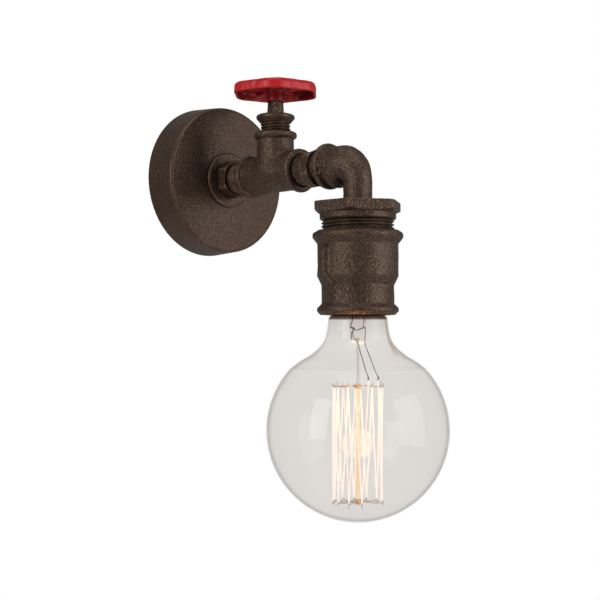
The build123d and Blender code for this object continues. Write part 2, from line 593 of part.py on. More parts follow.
# --------------------------------------------------------------------- lamp
outline = [(20.25, -106.9), (20.8, -111.5), (21.6, -116.2), (23.0, -120.9),
           (25.3, -124.4), (28.4, -127.8), (33.8, -131.9), (40.0, -135.6)]
touch = 42.0             # degrees above the globe's equator where the neck joins


def globe_point(r, deg):
    q = math.radians(deg)
    return (r * math.cos(q), GLOBE_Z + r * math.sin(q))


def envelope(inset):
    """Half outline of the glass, moved inwards by inset."""
    r = GLOBE_R - inset
    neck = [(19.6 - inset * 0.8, -105.2 - inset * 0.6)] + [
        (x - inset, z - inset * 0.25) for x, z in outline]
    join = globe_point(r, touch)
    q = math.radians(touch)
    tangent = (math.sin(q), -math.cos(q))
    neck_curve = Spline(*[Vector(*p) for p in neck + [join]],
                        tangents=[Vector(0.45, -0.9), Vector(*tangent)])
    belly = ThreePointArc(Vector(*join), Vector(*globe_point(r, -24)), Vector(0, GLOBE_Z - r))
    return neck, neck_curve, belly


wall = 0.9
n_out, c_out, b_out = envelope(0.0)
n_in, c_in, b_in = envelope(wall)
shoulder_out = [Vector(11.4, -93.5), Vector(11.4, -100.6), Vector(12.4, -102.1), Vector(15.4, -102.9),
                Vector(17.9, -103.9)]
shoulder_in = [Vector(10.5, -93.5), Vector(10.5, -100.9), Vector(11.7, -103.0), Vector(15.1, -103.9),
               Vector(17.3, -104.8)]
edges = []
for a_, b_ in zip(shoulder_out, shoulder_out[1:]):
    edges.append(Line(a_, b_))
edges.append(Line(shoulder_out[-1], Vector(*n_out[0])))
edges += [c_out, b_out]
edges.append(Line(Vector(0, GLOBE_Z - GLOBE_R), Vector(0, GLOBE_Z - GLOBE_R + wall)))
edges += [b_in, c_in]
edges.append(Line(Vector(*n_in[0]), shoulder_in[-1]))
for a_, b_ in zip(shoulder_in[::-1], shoulder_in[::-1][1:]):
    edges.append(Line(a_, b_))
edges.append(Line(shoulder_in[0], shoulder_out[0]))
face = make_face(Wire(edges))
glass = Pos(LAMP[0], LAMP[1], 0) * revolve(Plane.XZ * face, Axis.Z, 360)
keep("lamp_glass", glass)

# screw cap, black insulator and solder contact
cap_top = -80.6
crest = wave(12.1, 13.1, -82.2, -82.2 - 9 * CAP_THREAD / 2)
cap_in = [(r - 0.3, z, 0.6) for r, z, _ in crest]
cap = about_z([(8.9, -79.9), (11.4, -81.0, 0.8)] + crest + [(12.3, -99.6), (13.3, -100.3), (13.5, -101.7),
              (13.15, -101.7), (12.95, -100.6), (12.0, -100.0)] + cap_in[::-1] +
              [(11.1, -81.4, 0.6), (8.9, -80.3)], LAMP)
keep("lamp_cap", cap)
keep("lamp_cap_insulator", about_z([(1.4, -77.2), (4.7, -77.2, 0.6), (8.85, -80.1, 1.5), (8.85, -81.6), (1.4, -81.6)], LAMP))
keep("lamp_contact", about_z([(0, -76.0), (2.6, -76.1, 0.8), (4.4, -77.15, 0.4), (1.35, -77.2), (1.35, -82.2), (0, -82.2)], LAMP))

# glass mount: flared tube, pressed flat at its lower end, and the centre rod
flare = about_z([(0, -110.5), (5.0, -110.5, 1.0), (6.1, -106.0, 2.0), (6.4, -98.0, 2.0), (10.3, -93.6),
                 (9.5, -93.6), (5.3, -98.4, 2.0), (5.0, -106.0, 1.0), (0, -107.5)], LAMP)
press = Pos(LAMP[0], LAMP[1], -115.6) * Rot(0, 0, VIEW) * Box(11.0, 4.2, 10.8)
press = fillet(press.edges().filter_by(Axis.Z), 1.6)
flare += press
keep("lamp_glass_mount", flare)
rod = about_z([(0, -121.0), (1.15, -121.0), (1.15, CAGE_Z[0] + 2.0), (2.3, CAGE_Z[0] + 1.2, 0.6),
               (2.3, CAGE_Z[0] - 1.2, 0.6), (1.15, CAGE_Z[0] - 2.0), (1.15, CAGE_Z[1] + 2.0),
               (2.3, CAGE_Z[1] + 1.2, 0.6), (2.3, CAGE_Z[1] - 1.2, 0.6), (1.0, CAGE_Z[1] - 2.4), (0, CAGE_Z[1] - 2.4)], LAMP)
keep("lamp_glass_rod", rod)

# squirrel-cage filament: twenty-two strands between twelve tops and eleven feet
N = 12
gap0 = VIEW - 38.2                  # the right one of the two lead ends
tops = [polar(CAGE_R, gap0 + 360.0 / N * k, CAGE_Z[0], LAMP) for k in range(N)]
feet = [polar(CAGE_R, gap0 + 360.0 / N * (k + 0.5), CAGE_Z[1], LAMP) for k in range(N - 1)]
FIL_R = 0.35
order = []
for k in range(N - 1):
    order += [tops[k], feet[k]]
order.append(tops[N - 1])
filament = None
for p, q in zip(order, order[1:]):
    d = Vector(*q) - Vector(*p)
    strand = Solid.make_cylinder(FIL_R, d.length, Plane(origin=p, z_dir=d))
    filament = strand if filament is None else filament + strand
for p in order:
    filament += Pos(*p) * Sphere(FIL_R * 1.12)
keep("lamp_filament", filament)

supports = []
for group, z_hub in ((tops[1:-1], CAGE_Z[0]), (feet, CAGE_Z[1])):
    for p in group:
        d = Vector(p[0] - LAMP[0], p[1] - LAMP[1], 0).normalized()
        start = Vector(LAMP[0], LAMP[1], z_hub) + d * 2.36
        supports.append(Solid.make_cylinder(0.22, CAGE_R - 0.46 - 2.36, Plane(origin=start, z_dir=d)))
keep("lamp_supports", Compound(children=supports))

leads = []
right = Vector(math.cos(math.radians(VIEW)), math.sin(math.radians(VIEW)), 0)
for end, off in ((tops[0], 3.6), (tops[N - 1], -0.4)):
    out = Vector(end[0] - LAMP[0], end[1] - LAMP[1], 0).normalized()
    p0 = Vector(LAMP[0], LAMP[1], -121.05) + right * off + Vector(-right.Y, right.X, 0) * -1.6
    p1 = p0 + Vector(0, 0, -4.0)
    p2 = Vector(end[0], end[1], CAGE_Z[0] + 0.55)
    p1 = p0 + Vector(0, 0, -3.2)
    path = FilletPolyline(p0, p1, p2, radius=1.6)
    leads.append(sweep(Plane(origin=p0, z_dir=(0, 0, -1)) * Circle(0.3), path=path).solids()[0])
keep("lamp_leads", Compound(children=leads))

print(len(made), "nodes")
for name in sorted(made):
    bb = made[name].bounding_box()
    print("%-26s %s .. %s" % (name, [round(v, 1) for v in bb.min], [round(v, 1) for v in bb.max]))
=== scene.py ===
import bpy
import math
import numpy as np
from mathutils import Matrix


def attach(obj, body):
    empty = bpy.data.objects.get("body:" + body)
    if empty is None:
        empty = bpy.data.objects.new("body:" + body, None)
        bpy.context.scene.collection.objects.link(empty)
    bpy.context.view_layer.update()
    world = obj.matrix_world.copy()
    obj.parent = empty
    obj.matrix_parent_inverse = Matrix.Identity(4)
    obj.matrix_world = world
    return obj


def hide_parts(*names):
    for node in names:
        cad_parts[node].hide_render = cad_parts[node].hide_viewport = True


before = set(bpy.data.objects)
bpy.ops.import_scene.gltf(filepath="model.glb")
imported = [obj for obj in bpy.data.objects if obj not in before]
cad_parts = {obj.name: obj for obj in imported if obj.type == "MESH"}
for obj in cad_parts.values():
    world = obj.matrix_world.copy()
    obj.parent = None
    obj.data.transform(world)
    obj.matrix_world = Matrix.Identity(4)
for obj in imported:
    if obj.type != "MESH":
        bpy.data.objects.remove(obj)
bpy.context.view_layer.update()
MM = 0.001

# ------------------------------------------------------------- main sizes, mm
REACH = 160.8
TEE_Y = -78.3
AT_LAMP = (0.0, -REACH)
AT_TEE = (0.0, TEE_Y)
VIEW = -43.97
GLOBE_R = 62.5
GLOBE_Z = -182.3
STRAND_R = 0.50


# ================================================================ mesh helpers
def hash01(i, j, k, seed):
    """Repeatable number from 0 to 1 for each lattice point."""
    with np.errstate(over="ignore"):
        n = (i.astype(np.uint32) * np.uint32(374761393) + j.astype(np.uint32) * np.uint32(668265263)
             + k.astype(np.uint32) * np.uint32(2246822519) + np.uint32(seed) * np.uint32(3266489917))
        n = (n ^ (n >> np.uint32(13))) * np.uint32(1274126177)
        n = (n ^ (n >> np.uint32(16))) * np.uint32(2654435769)
        n ^= n >> np.uint32(15)
    return n.astype(np.float64) / 4294967295.0


def lump(x, y, z, size, seed=1):
    """Smooth lattice noise from -1 to 1 with features of about that size."""
    x, y, z = x / size + 311.7, y / size + 97.3, z / size + 613.1
    i, j, k = np.floor(x).astype(np.int64), np.floor(y).astype(np.int64), np.floor(z).astype(np.int64)
    u, v, w = x - i, y - j, z - k
    u, v, w = [t * t * t * (t * (t * 6 - 15) + 10) for t in (u, v, w)]
    out = 0.0
    for a in (0, 1):
        for b in (0, 1):
            for c in (0, 1):
                weight = (u if a else 1 - u) * (v if b else 1 - v) * (w if c else 1 - w)
                out = out + weight * hash01(i + a, j + b, k + c, seed)
    return out * 2 - 1


def smin(a, b, k):
    h = np.clip(0.5 + 0.5 * (b - a) / k, 0, 1)
    return b * (1 - h) + a * h - k * h * (1 - h)


def smax(a, b, k):
    return -smin(-a, -b, k)


def step01(t):
    t = np.clip(t, 0, 1)
    return t * t * (3 - 2 * t)


def relief(v, faces, reach=1.3):
    """How far each point lies below (+) or above (-) the surface smoothed over that reach, in mm."""
    pairs = []
    for f in faces:
        f = np.asarray(f)
        if len(f):
            pairs += [np.stack([f[:, k], f[:, (k + 1) % f.shape[1]]], 1) for k in range(f.shape[1])]
    e = np.concatenate(pairs)
    step = np.median(np.linalg.norm(v[e[:, 0]] - v[e[:, 1]], axis=1))
    a, b = np.concatenate([e[:, 0], e[:, 1]]), np.concatenate([e[:, 1], e[:, 0]])
    count = np.maximum(np.bincount(a, minlength=len(v)), 1)
    p = v.copy()
    for _ in range(int(min(30, max(4, (reach / step) ** 2)))):
        p = np.stack([np.bincount(a, weights=p[b, k], minlength=len(v)) / count for k in range(3)], 1)
    return np.einsum("ij,ij->i", p - v, point_normals(v, faces))


def build(name, verts, faces, mat, body, smooth=True, sharp=None, mats=None, slots=None, wear_and_shade_relief=False):
    """Mesh object from millimetre points; faces is a list of index arrays (n x 3 or n x 4)."""
    me = bpy.data.meshes.new(name)
    v = np.asarray(verts, dtype=np.float64) * MM
    groups = [np.asarray(f, dtype=np.int64) for f in faces if len(f)]
    loops = np.concatenate([g.ravel() for g in groups])
    sizes = np.concatenate([np.full(len(g), g.shape[1]) for g in groups])
    starts = np.concatenate([[0], np.cumsum(sizes)[:-1]])
    me.vertices.add(len(v))
    me.vertices.foreach_set("co", v.ravel())
    me.loops.add(len(loops))
    me.loops.foreach_set("vertex_index", loops.astype(np.int32))
    me.polygons.add(len(sizes))
    me.polygons.foreach_set("loop_start", starts.astype(np.int32))
    me.polygons.foreach_set("use_smooth", np.full(len(sizes), bool(smooth)))
    if slots is not None:
        me.polygons.foreach_set("material_index", np.asarray(slots, dtype=np.int32))
    me.update(calc_edges=True)
    me.validate()
    if sharp is not None:
        me.set_sharp_from_angle(angle=math.radians(sharp))
    # the relief drives rubbed edges, painted shade in hollows and painted highlight on raised edges
    if wear_and_shade_relief:
        at_ = me.attributes.new("relief", "FLOAT", "POINT")
        at_.data.foreach_set("value", relief(np.asarray(verts, dtype=np.float64), groups).astype(np.float32))
    ob = bpy.data.objects.new(name, me)
    bpy.context.scene.collection.objects.link(ob)
    for m in (mats or [mat]):
        me.materials.append(m)
    if body:
        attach(ob, body)
    return ob


def volume(v, faces):
    total = 0.0
    for f in faces:
        f = np.asarray(f)
        if not len(f):
            continue
        a = v[f[:, 0]]
        for k in range(1, f.shape[1] - 1):
            total += np.einsum("ij,ij->i", a, np.cross(v[f[:, k]], v[f[:, k + 1]])).sum() / 6
    return total


def outward(v, faces):
    if volume(v, faces) < 0:
        return [np.asarray(f)[:, ::-1] for f in faces]
    return faces


def point_normals(v, faces):
    n = np.zeros_like(v)
    for f in faces:
        f = np.asarray(f)
        if not len(f):
            continue
        if f.shape[1] == 4:
            c = np.cross(v[f[:, 2]] - v[f[:, 0]], v[f[:, 3]] - v[f[:, 1]])
        else:
            c = np.cross(v[f[:, 1]] - v[f[:, 0]], v[f[:, 2]] - v[f[:, 0]])
        for k in range(f.shape[1]):
            np.add.at(n, f[:, k], c)
    return n / np.maximum(np.linalg.norm(n, axis=1), 1e-12)[:, None]


def roughen(v, faces, layers):
    """Moves points along their normals by layers of (height, size, seed)."""
    n = point_normals(v, faces)
    h = np.zeros(len(v))
    for amount, size, seed in layers:
        h += amount * lump(v[:, 0], v[:, 1], v[:, 2], size, seed)
    return v + n * h[:, None]


CAST = [(0.16, 6.0, 3), (0.085, 1.9, 5), (0.04, 1.05, 9)]
FINE = [(0.05, 5.0, 3), (0.022, 1.5, 5)]


def rounded(points, step=0.8, arc=6):
    """Closed profile of (r, h[, corner radius]) resampled into short pieces."""
    n = len(points)
    P = [np.array(p[:2], float) for p in points]
    R = [p[2] if len(p) > 2 else 0.0 for p in points]
    out = []
    for i in range(n):
        a, b, c = P[i - 1], P[i], P[(i + 1) % n]
        if R[i] > 0:
            u, v = (a - b) / np.linalg.norm(a - b), (c - b) / np.linalg.norm(c - b)
            half = math.acos(max(-1, min(1, float(u @ v)))) / 2
            t = R[i] / math.tan(half)
            m = (u + v) / np.linalg.norm(u + v)
            centre = b + m * R[i] / math.sin(half)
            p0, p1 = b + u * t, b + v * t
            a0, a1 = math.atan2(*(p0 - centre)[::-1]), math.atan2(*(p1 - centre)[::-1])
            d = (a1 - a0 + math.pi) % (2 * math.pi) - math.pi
            for k in range(arc + 1):
                q = a0 + d * k / arc
                out.append(centre + R[i] * np.array([math.cos(q), math.sin(q)]))
        else:
            out.append(b)
    pts = []
    m = len(out)
    for i in range(m):
        a, b = out[i], out[(i + 1) % m]
        length = np.linalg.norm(b - a)
        if length < 1e-9:
            continue
        k = max(1, int(math.ceil(length / step)))
        for q in range(k):
            pts.append(a + (b - a) * q / k)
    return np.array(pts)


def lathe(profile, segs, axis="z", at=(0.0, 0.0), rfun=None, phase=0.0):
    """Closed ring of profile points turned round an axis; returns points and quads.
    rfun(r, h, angle) may change the radius."""
    m = len(profile)
    th = phase + 2 * math.pi * np.arange(segs) / segs
    r = np.repeat(profile[:, 0], segs)
    h = np.repeat(profile[:, 1], segs)
    t = np.tile(th, m)
    if rfun is not None:
        r = rfun(r, h, t)
    x, y = r * np.cos(t), r * np.sin(t)
    v = np.stack([x + at[0], y + at[1], h], 1) if axis == "z" else np.stack([x, h, y], 1)
    j, i = np.meshgrid(np.arange(m), np.arange(segs), indexing="ij")
    j2, i2 = (j + 1) % m, (i + 1) % segs
    f = np.stack([j * segs + i, j * segs + i2, j2 * segs + i2, j2 * segs + i], -1).reshape(-1, 4)
    return v, outward(v, [f])


def hex_r(theta, apothem, turn):
    """Distance to the side of a hexagon; turn is one corner's angle."""
    q = np.mod(theta - turn, math.pi / 3) - math.pi / 6
    return apothem / np.cos(q)


def surface_nets(f, lo, hi, h, sharpen=2):
    """Closed quad mesh of the zero level of f(x, y, z), negative inside."""
    n = [int(math.ceil((hi[i] - lo[i]) / h)) + 1 for i in range(3)]
    ax = [lo[i] + h * np.arange(n[i]) for i in range(3)]
    X, Y, Z = np.meshgrid(*ax, indexing="ij")
    D = f(X, Y, Z)
    s = D < 0
    count = np.zeros(tuple(k - 1 for k in n), np.int8)
    for a in (0, 1):
        for b in (0, 1):
            for c in (0, 1):
                count += s[a:n[0] - 1 + a, b:n[1] - 1 + b, c:n[2] - 1 + c]
    active = (count > 0) & (count < 8)
    idx = np.full(active.shape, -1, np.int64)
    cells = np.argwhere(active)
    idx[active] = np.arange(len(cells))
    acc, num = np.zeros((len(cells), 3)), np.zeros(len(cells))
    corner = [(0, 0, 0), (1, 0, 0), (0, 1, 0), (1, 1, 0), (0, 0, 1), (1, 0, 1), (0, 1, 1), (1, 1, 1)]
    edges = [(0, 1), (2, 3), (4, 5), (6, 7), (0, 2), (1, 3), (4, 6), (5, 7), (0, 4), (1, 5), (2, 6), (3, 7)]
    val = [D[cells[:, 0] + c[0], cells[:, 1] + c[1], cells[:, 2] + c[2]] for c in corner]
    for a, b in edges:
        da, db = val[a], val[b]
        cut = (da < 0) != (db < 0)
        t = np.where(cut, da / np.where(cut, da - db, 1), 0)
        pa, pb = np.array(corner[a], float), np.array(corner[b], float)
        acc += np.where(cut[:, None], pa + (pb - pa) * t[:, None], 0)
        num += cut
    v = (cells + acc / num[:, None]) * h + np.array(lo)
    quads = []
    for d in range(3):
        e1, e2 = (d + 1) % 3, (d + 2) % 3
        sl0 = [slice(None)] * 3
        sl1 = [slice(None)] * 3
        sl0[d], sl1[d] = slice(0, -1), slice(1, None)
        a, b = s[tuple(sl0)], s[tuple(sl1)]
        cross = a != b
        painted_cup_shade = np.zeros_like(cross)
        cut = [slice(None)] * 3
        cut[e1], cut[e2] = slice(1, n[e1] - 1), slice(1, n[e2] - 1)
        painted_cup_shade[tuple(cut)] = True
        g = np.argwhere(cross & painted_cup_shade)
        if not len(g):
            continue
        flip = a[cross & painted_cup_shade]
        def cell(o1, o2):
            q = g.copy()
            q[:, e1] -= o1
            q[:, e2] -= o2
            return idx[q[:, 0], q[:, 1], q[:, 2]]
        quad = np.stack([cell(1, 1), cell(0, 1), cell(0, 0), cell(1, 0)], 1)
        quad[~flip] = quad[~flip][:, ::-1]
        quads.append(quad)
    faces = np.concatenate(quads)
    faces = faces[(faces >= 0).all(1)]
    e = h * 0.05
    for _ in range(sharpen):
        x, y, z = v.T
        d = f(x, y, z)
        g = np.stack([f(x + e, y, z) - f(x - e, y, z), f(x, y + e, z) - f(x, y - e, z),
                      f(x, y, z + e) - f(x, y, z - e)], 1) / (2 * e)
        g2 = np.maximum((g * g).sum(1), 0.05)
        move = -(d / g2)[:, None] * g
        size = np.linalg.norm(move, axis=1)
        move *= np.minimum(1, 0.5 * h / np.maximum(size, 1e-9))[:, None]
        v = v + move
    return v, outward(v, [faces])


def tube(points, radius, segs=10, closed_ends=True):
    """Round wire through the points; radius may be a list."""
    P = np.asarray(points, float)
    n = len(P)
    rad = np.full(n, radius) if np.isscalar(radius) else np.asarray(radius, float)
    T = np.gradient(P, axis=0)
    T /= np.linalg.norm(T, axis=1)[:, None]
    ref = np.array([0.13, 0.27, 0.95])
    if abs(T[0] @ ref) > 0.9:
        ref = np.array([0.95, 0.2, 0.1])
    u = np.cross(T[0], ref)
    u /= np.linalg.norm(u)
    rows = []
    for i in range(n):
        u = u - (u @ T[i]) * T[i]
        u /= np.linalg.norm(u)
        w = np.cross(T[i], u)
        a = 2 * math.pi * np.arange(segs) / segs
        rows.append(P[i] + rad[i] * (np.cos(a)[:, None] * u + np.sin(a)[:, None] * w))
    v = np.concatenate(rows)
    j, i = np.meshgrid(np.arange(n - 1), np.arange(segs), indexing="ij")
    i2 = (i + 1) % segs
    q = np.stack([j * segs + i, j * segs + i2, (j + 1) * segs + i2, (j + 1) * segs + i], -1).reshape(-1, 4)
    faces = [q]
    if closed_ends:
        v = np.concatenate([v, P[:1], P[-1:]])
        a, b = n * segs, n * segs + 1
        k = np.arange(segs)
        k2 = (k + 1) % segs
        faces.append(np.concatenate([np.stack([np.full(segs, a), k2, k], 1),
                                     np.stack([np.full(segs, b), (n - 1) * segs + k, (n - 1) * segs + k2], 1)]))
    return v, outward(v, faces)


def curve_points(knots, per=8):
    """Catmull-Rom points through the knots."""
    K = np.asarray(knots, float)
    K = np.concatenate([[2 * K[0] - K[1]], K, [2 * K[-1] - K[-2]]])
    out = []
    for i in range(1, len(K) - 2):
        for t in np.arange(per) / per:
            out.append(0.5 * ((2 * K[i]) + (K[i + 1] - K[i - 1]) * t
                       + (2 * K[i - 1] - 5 * K[i] + 4 * K[i + 1] - K[i + 2]) * t * t
                       + (3 * K[i] - K[i - 1] - 3 * K[i + 1] + K[i + 2]) * t ** 3))
    out.append(K[-2])
    return np.array(out)


def join(parts):
    """Several (points, faces) as one."""
    v, tri, quad, base = [], [], [], 0
    for p, fs in parts:
        for f in fs:
            f = np.asarray(f) + base
            (tri if f.shape[1] == 3 else quad).append(f)
        v.append(p)
        base += len(p)
    faces = []
    if tri:
        faces.append(np.concatenate(tri))
    if quad:
        faces.append(np.concatenate(quad))
    return np.concatenate(v), faces


# ================================================================== materials
def new_mat(name):
    m = bpy.data.materials.new(name)
    m.use_nodes = True
    nt = m.node_tree
    nt.nodes.clear()
    out = nt.nodes.new("ShaderNodeOutputMaterial")
    return m, nt, out


def N(nt, kind, **kw):
    n = nt.nodes.new(kind)
    for k, v in kw.items():
        if k in n.inputs:
            n.inputs[k].default_value = v
        else:
            setattr(n, k, v)
    return n


def noise_node(nt, vec, scale, detail=2.0, rough=0.5, dist=0.0):
    n = nt.nodes.new("ShaderNodeTexNoise")
    n.inputs["Scale"].default_value = scale
    n.inputs["Detail"].default_value = detail
    n.inputs["Roughness"].default_value = rough
    n.inputs["Distortion"].default_value = dist
    nt.links.new(vec, n.inputs["Vector"])
    return n.outputs["Fac"]


def ramp(nt, fac, stops):
    r = nt.nodes.new("ShaderNodeValToRGB")
    el = r.color_ramp.elements
    while len(el) < len(stops):
        el.new(0.5)
    for e, (p, c) in zip(el, stops):
        e.position = p
        e.color = (*c, 1) if len(c) == 3 else c
    nt.links.new(fac, r.inputs["Fac"])
    return r.outputs["Color"]


def mixc(nt, fac, a, b, blend="MIX"):
    m = nt.nodes.new("ShaderNodeMix")
    m.data_type = "RGBA"
    m.blend_type = blend
    for sock, val in ((m.inputs[0], fac), (m.inputs[6], a), (m.inputs[7], b)):
        if isinstance(val, bpy.types.NodeSocket):
            nt.links.new(val, sock)
        elif isinstance(val, (int, float)):
            sock.default_value = val
        else:
            sock.default_value = (*val, 1)
    return m.outputs[2]


def math_node(nt, op, a, b=0.0, clamp=False):
    m = nt.nodes.new("ShaderNodeMath")
    m.operation = op
    m.use_clamp = clamp
    for sock, val in zip(m.inputs, (a, b)):
        if isinstance(val, bpy.types.NodeSocket):
            nt.links.new(val, sock)
        else:
            sock.default_value = val
    return m.outputs[0]


def remap(nt, val, a, b, c, d):
    m = nt.nodes.new("ShaderNodeMapRange")
    nt.links.new(val, m.inputs["Value"])
    for k, x in zip(("From Min", "From Max", "To Min", "To Max"), (a, b, c, d)):
        m.inputs[k].default_value = x
    return m.outputs["Result"]


def place(nt):
    return nt.nodes.new("ShaderNodeTexCoord").outputs["Object"]


def bump(nt, height, strength, distance, normal=None):
    b = nt.nodes.new("ShaderNodeBump")
    b.inputs["Strength"].default_value = strength
    b.inputs["Distance"].default_value = distance
    nt.links.new(height, b.inputs["Height"])
    if normal is not None:
        nt.links.new(normal, b.inputs["Normal"])
    return b.outputs["Normal"]


def hollow(nt, reach):
    """1 on open surfaces, towards 0 in gaps and corners narrower than the reach; the paints darken by it as painted
    shade.
    """
    ao = nt.nodes.new("ShaderNodeAmbientOcclusion")
    ao.samples = 6
    ao.inputs["Distance"].default_value = reach
    return ao.outputs["AO"]


def brown_paint(name, tint=(1, 1, 1), grain=900.0, peel=0.5, speck=1.0, edge=1.0, rough=0.40, metal=0.15, rim=False):
    """Dark brown hammered finish with fine brassy flecks, rubbed edges lightened partly as painted highlight, and
    painted shade in hollows and gaps.
    """
    m, nt, out = new_mat(name)
    bs = nt.nodes.new("ShaderNodeBsdfPrincipled")
    nt.links.new(bs.outputs[0], out.inputs[0])
    vec = place(nt)
    tone = lambda c: tuple(a * b for a, b in zip(c, tint))
    fine = noise_node(nt, vec, grain * 1.75, 1.0, 0.5)
    wide = noise_node(nt, vec, 48.0, 3.0, 0.55)
    base = ramp(nt, fine, [(0.31, tone((0.010, 0.0046, 0.0026))), (0.50, tone((0.036, 0.0205, 0.0128))),
                           (0.69, tone((0.094, 0.064, 0.048)))])
    cloud = ramp(nt, wide, [(0.30, (0.88, 0.86, 0.84)), (0.70, (1.09, 1.09, 1.10))])
    col = mixc(nt, 1.0, base, cloud, "MULTIPLY")
    # flecks
    v = nt.nodes.new("ShaderNodeTexVoronoi")
    v.inputs["Scale"].default_value = grain * 1.7
    nt.links.new(vec, v.inputs["Vector"])
    pick = nt.nodes.new("ShaderNodeSeparateColor")
    nt.links.new(v.outputs["Color"], pick.inputs[0])
    fleck = remap(nt, pick.outputs[0], 0.80, 0.97, 0.0, 1.0)
    near = remap(nt, v.outputs["Distance"], 0.60, 0.15, 0.0, 1.0)
    fleck = math_node(nt, "MULTIPLY", fleck, near, True)
    fleck = math_node(nt, "MULTIPLY", fleck, 0.55 * speck, True)
    col = mixc(nt, fleck, col, (0.175, 0.128, 0.095))
    # raised edges turn a lighter warmer colour, partly rubbed paint and partly painted highlight; hollows get painted
    # shade
    at = nt.nodes.new("ShaderNodeAttribute")
    at.attribute_type = "GEOMETRY"
    at.attribute_name = "relief"
    high = remap(nt, at.outputs["Fac"], -0.09, -0.34, 0.0, 1.0)
    high = math_node(nt, "MULTIPLY", high, remap(nt, fine, 0.35, 0.62, 0.25, 1.0), True)
    high = math_node(nt, "MULTIPLY", high, 0.50 * edge, True)
    col = mixc(nt, high, col, (0.165, 0.112, 0.074))
    # painted shade: hollows of the relief darkened nearly to black
    low = remap(nt, at.outputs["Fac"], 0.015, 0.22, 0.0, 1.0)
    low = math_node(nt, "MULTIPLY", low, 0.85, True)
    col = mixc(nt, low, col, (0.008, 0.0035, 0.0020))
    # painted shade: gaps and corners darkened by an ambient-occlusion mask
    painted_gap_shade = math_node(nt, "MULTIPLY", remap(nt, hollow(nt, 0.0040), 0.74, 0.28, 0.0, 1.0), 0.92, True)
    col = mixc(nt, painted_gap_shade, col, (0.006, 0.0028, 0.0016))
    if rim:
        # two thin painted highlight lines where the cover turns over its front edge
        sep = nt.nodes.new("ShaderNodeSeparateXYZ")
        nt.links.new(vec, sep.inputs[0])
        r2 = math_node(nt, "ADD", math_node(nt, "MULTIPLY", sep.outputs[0], sep.outputs[0]),
                       math_node(nt, "MULTIPLY", sep.outputs[2], sep.outputs[2]))
        rad = math_node(nt, "SQRT", r2)
        for r0, y0, w, amount in ((0.05355, -0.02505, 0.00045, 0.42), (0.05462, -0.02290, 0.00040, 0.20)):
            dr = math_node(nt, "SUBTRACT", rad, r0)
            dy = math_node(nt, "SUBTRACT", sep.outputs[1], y0)
            dist = math_node(nt, "SQRT", math_node(nt, "ADD", math_node(nt, "MULTIPLY", dr, dr), math_node(nt, "MULTIPLY", dy, dy)))
            line = remap(nt, dist, w, w * 0.25, 0.0, 1.0)
            patch = remap(nt, wide, 0.38, 0.60, 0.45, 1.0)
            line = math_node(nt, "MULTIPLY", math_node(nt, "MULTIPLY", line, patch, True), amount, True)
            col = mixc(nt, line, col, (0.235, 0.130, 0.070))
    nt.links.new(col, bs.inputs["Base Color"])
    bs.inputs["Metallic"].default_value = metal
    bs.inputs["Specular IOR Level"].default_value = 0.44
    bs.inputs["Specular Tint"].default_value = (1.0, 0.72, 0.55, 1.0)
    rg = remap(nt, fine, 0.3, 0.7, rough + 0.10, rough - 0.08)
    nt.links.new(rg, bs.inputs["Roughness"])
    small = noise_node(nt, vec, grain * 0.85, 2.0, 0.62)
    nrm = bump(nt, small, peel, 0.0007)
    nrm = bump(nt, fleck, 0.25, 0.0002, nrm)
    nt.links.new(nrm, bs.inputs["Normal"])
    return m


def red_enamel(name):
    m, nt, out = new_mat(name)
    bs = nt.nodes.new("ShaderNodeBsdfPrincipled")
    nt.links.new(bs.outputs[0], out.inputs[0])
    vec = place(nt)
    a = noise_node(nt, vec, 160.0, 3.0, 0.55)
    col = ramp(nt, a, [(0.28, (0.33, 0.0055, 0.0075)), (0.55, (0.385, 0.0080, 0.0100)), (0.8, (0.43, 0.013, 0.015))])
    at = nt.nodes.new("ShaderNodeAttribute")
    at.attribute_type = "GEOMETRY"
    at.attribute_name = "relief"
    # painted shade: hollows of the relief turn a dark red
    low = remap(nt, at.outputs["Fac"], 0.03, 0.40, 0.0, 0.85)
    col = mixc(nt, low, col, (0.075, 0.0015, 0.0025))
    # painted shade: the inside of the wheel's cup darkened by an ambient-occlusion mask
    painted_cup_shade = math_node(nt, "MULTIPLY", remap(nt, hollow(nt, 0.012), 0.90, 0.45, 0.0, 1.0), 0.88, True)
    # painted shade round the hub under the top, from the distance to the wheel's axis
    sep = nt.nodes.new("ShaderNodeSeparateXYZ")
    nt.links.new(vec, sep.inputs[0])
    off = math_node(nt, "ADD", sep.outputs[1], -TEE_Y * MM)
    rad = math_node(nt, "SQRT", math_node(nt, "ADD", math_node(nt, "MULTIPLY", sep.outputs[0], sep.outputs[0]), math_node(nt, "MULTIPLY", off, off)))
    core = math_node(nt, "MULTIPLY", remap(nt, rad, 0.0150, 0.0100, 0.0, 0.72), remap(nt, sep.outputs[2], 0.0635, 0.0620, 0.0, 1.0))
    painted_cup_shade = math_node(nt, "MAXIMUM", painted_cup_shade, core)
    col = mixc(nt, painted_cup_shade, col, (0.070, 0.0014, 0.0022))
    # painted highlight: raised edges of the enamel turn a lighter red
    high = remap(nt, at.outputs["Fac"], -0.25, -0.60, 0.0, 0.30)
    col = mixc(nt, high, col, (0.55, 0.060, 0.050))
    nt.links.new(col, bs.inputs["Base Color"])
    bs.inputs["Roughness"].default_value = 0.36
    bs.inputs["Specular Tint"].default_value = (1.0, 0.42, 0.42, 1.0)
    bs.inputs["Coat Weight"].default_value = 0.04
    bs.inputs["Coat Roughness"].default_value = 0.12
    drip = noise_node(nt, vec, 200.0, 2.0, 0.5)
    fine = noise_node(nt, vec, 900.0, 2.0, 0.5)
    nrm = bump(nt, drip, 0.16, 0.0006)
    nrm = bump(nt, fine, 0.10, 0.0003, nrm)
    nt.links.new(nrm, bs.inputs["Normal"])
    return m


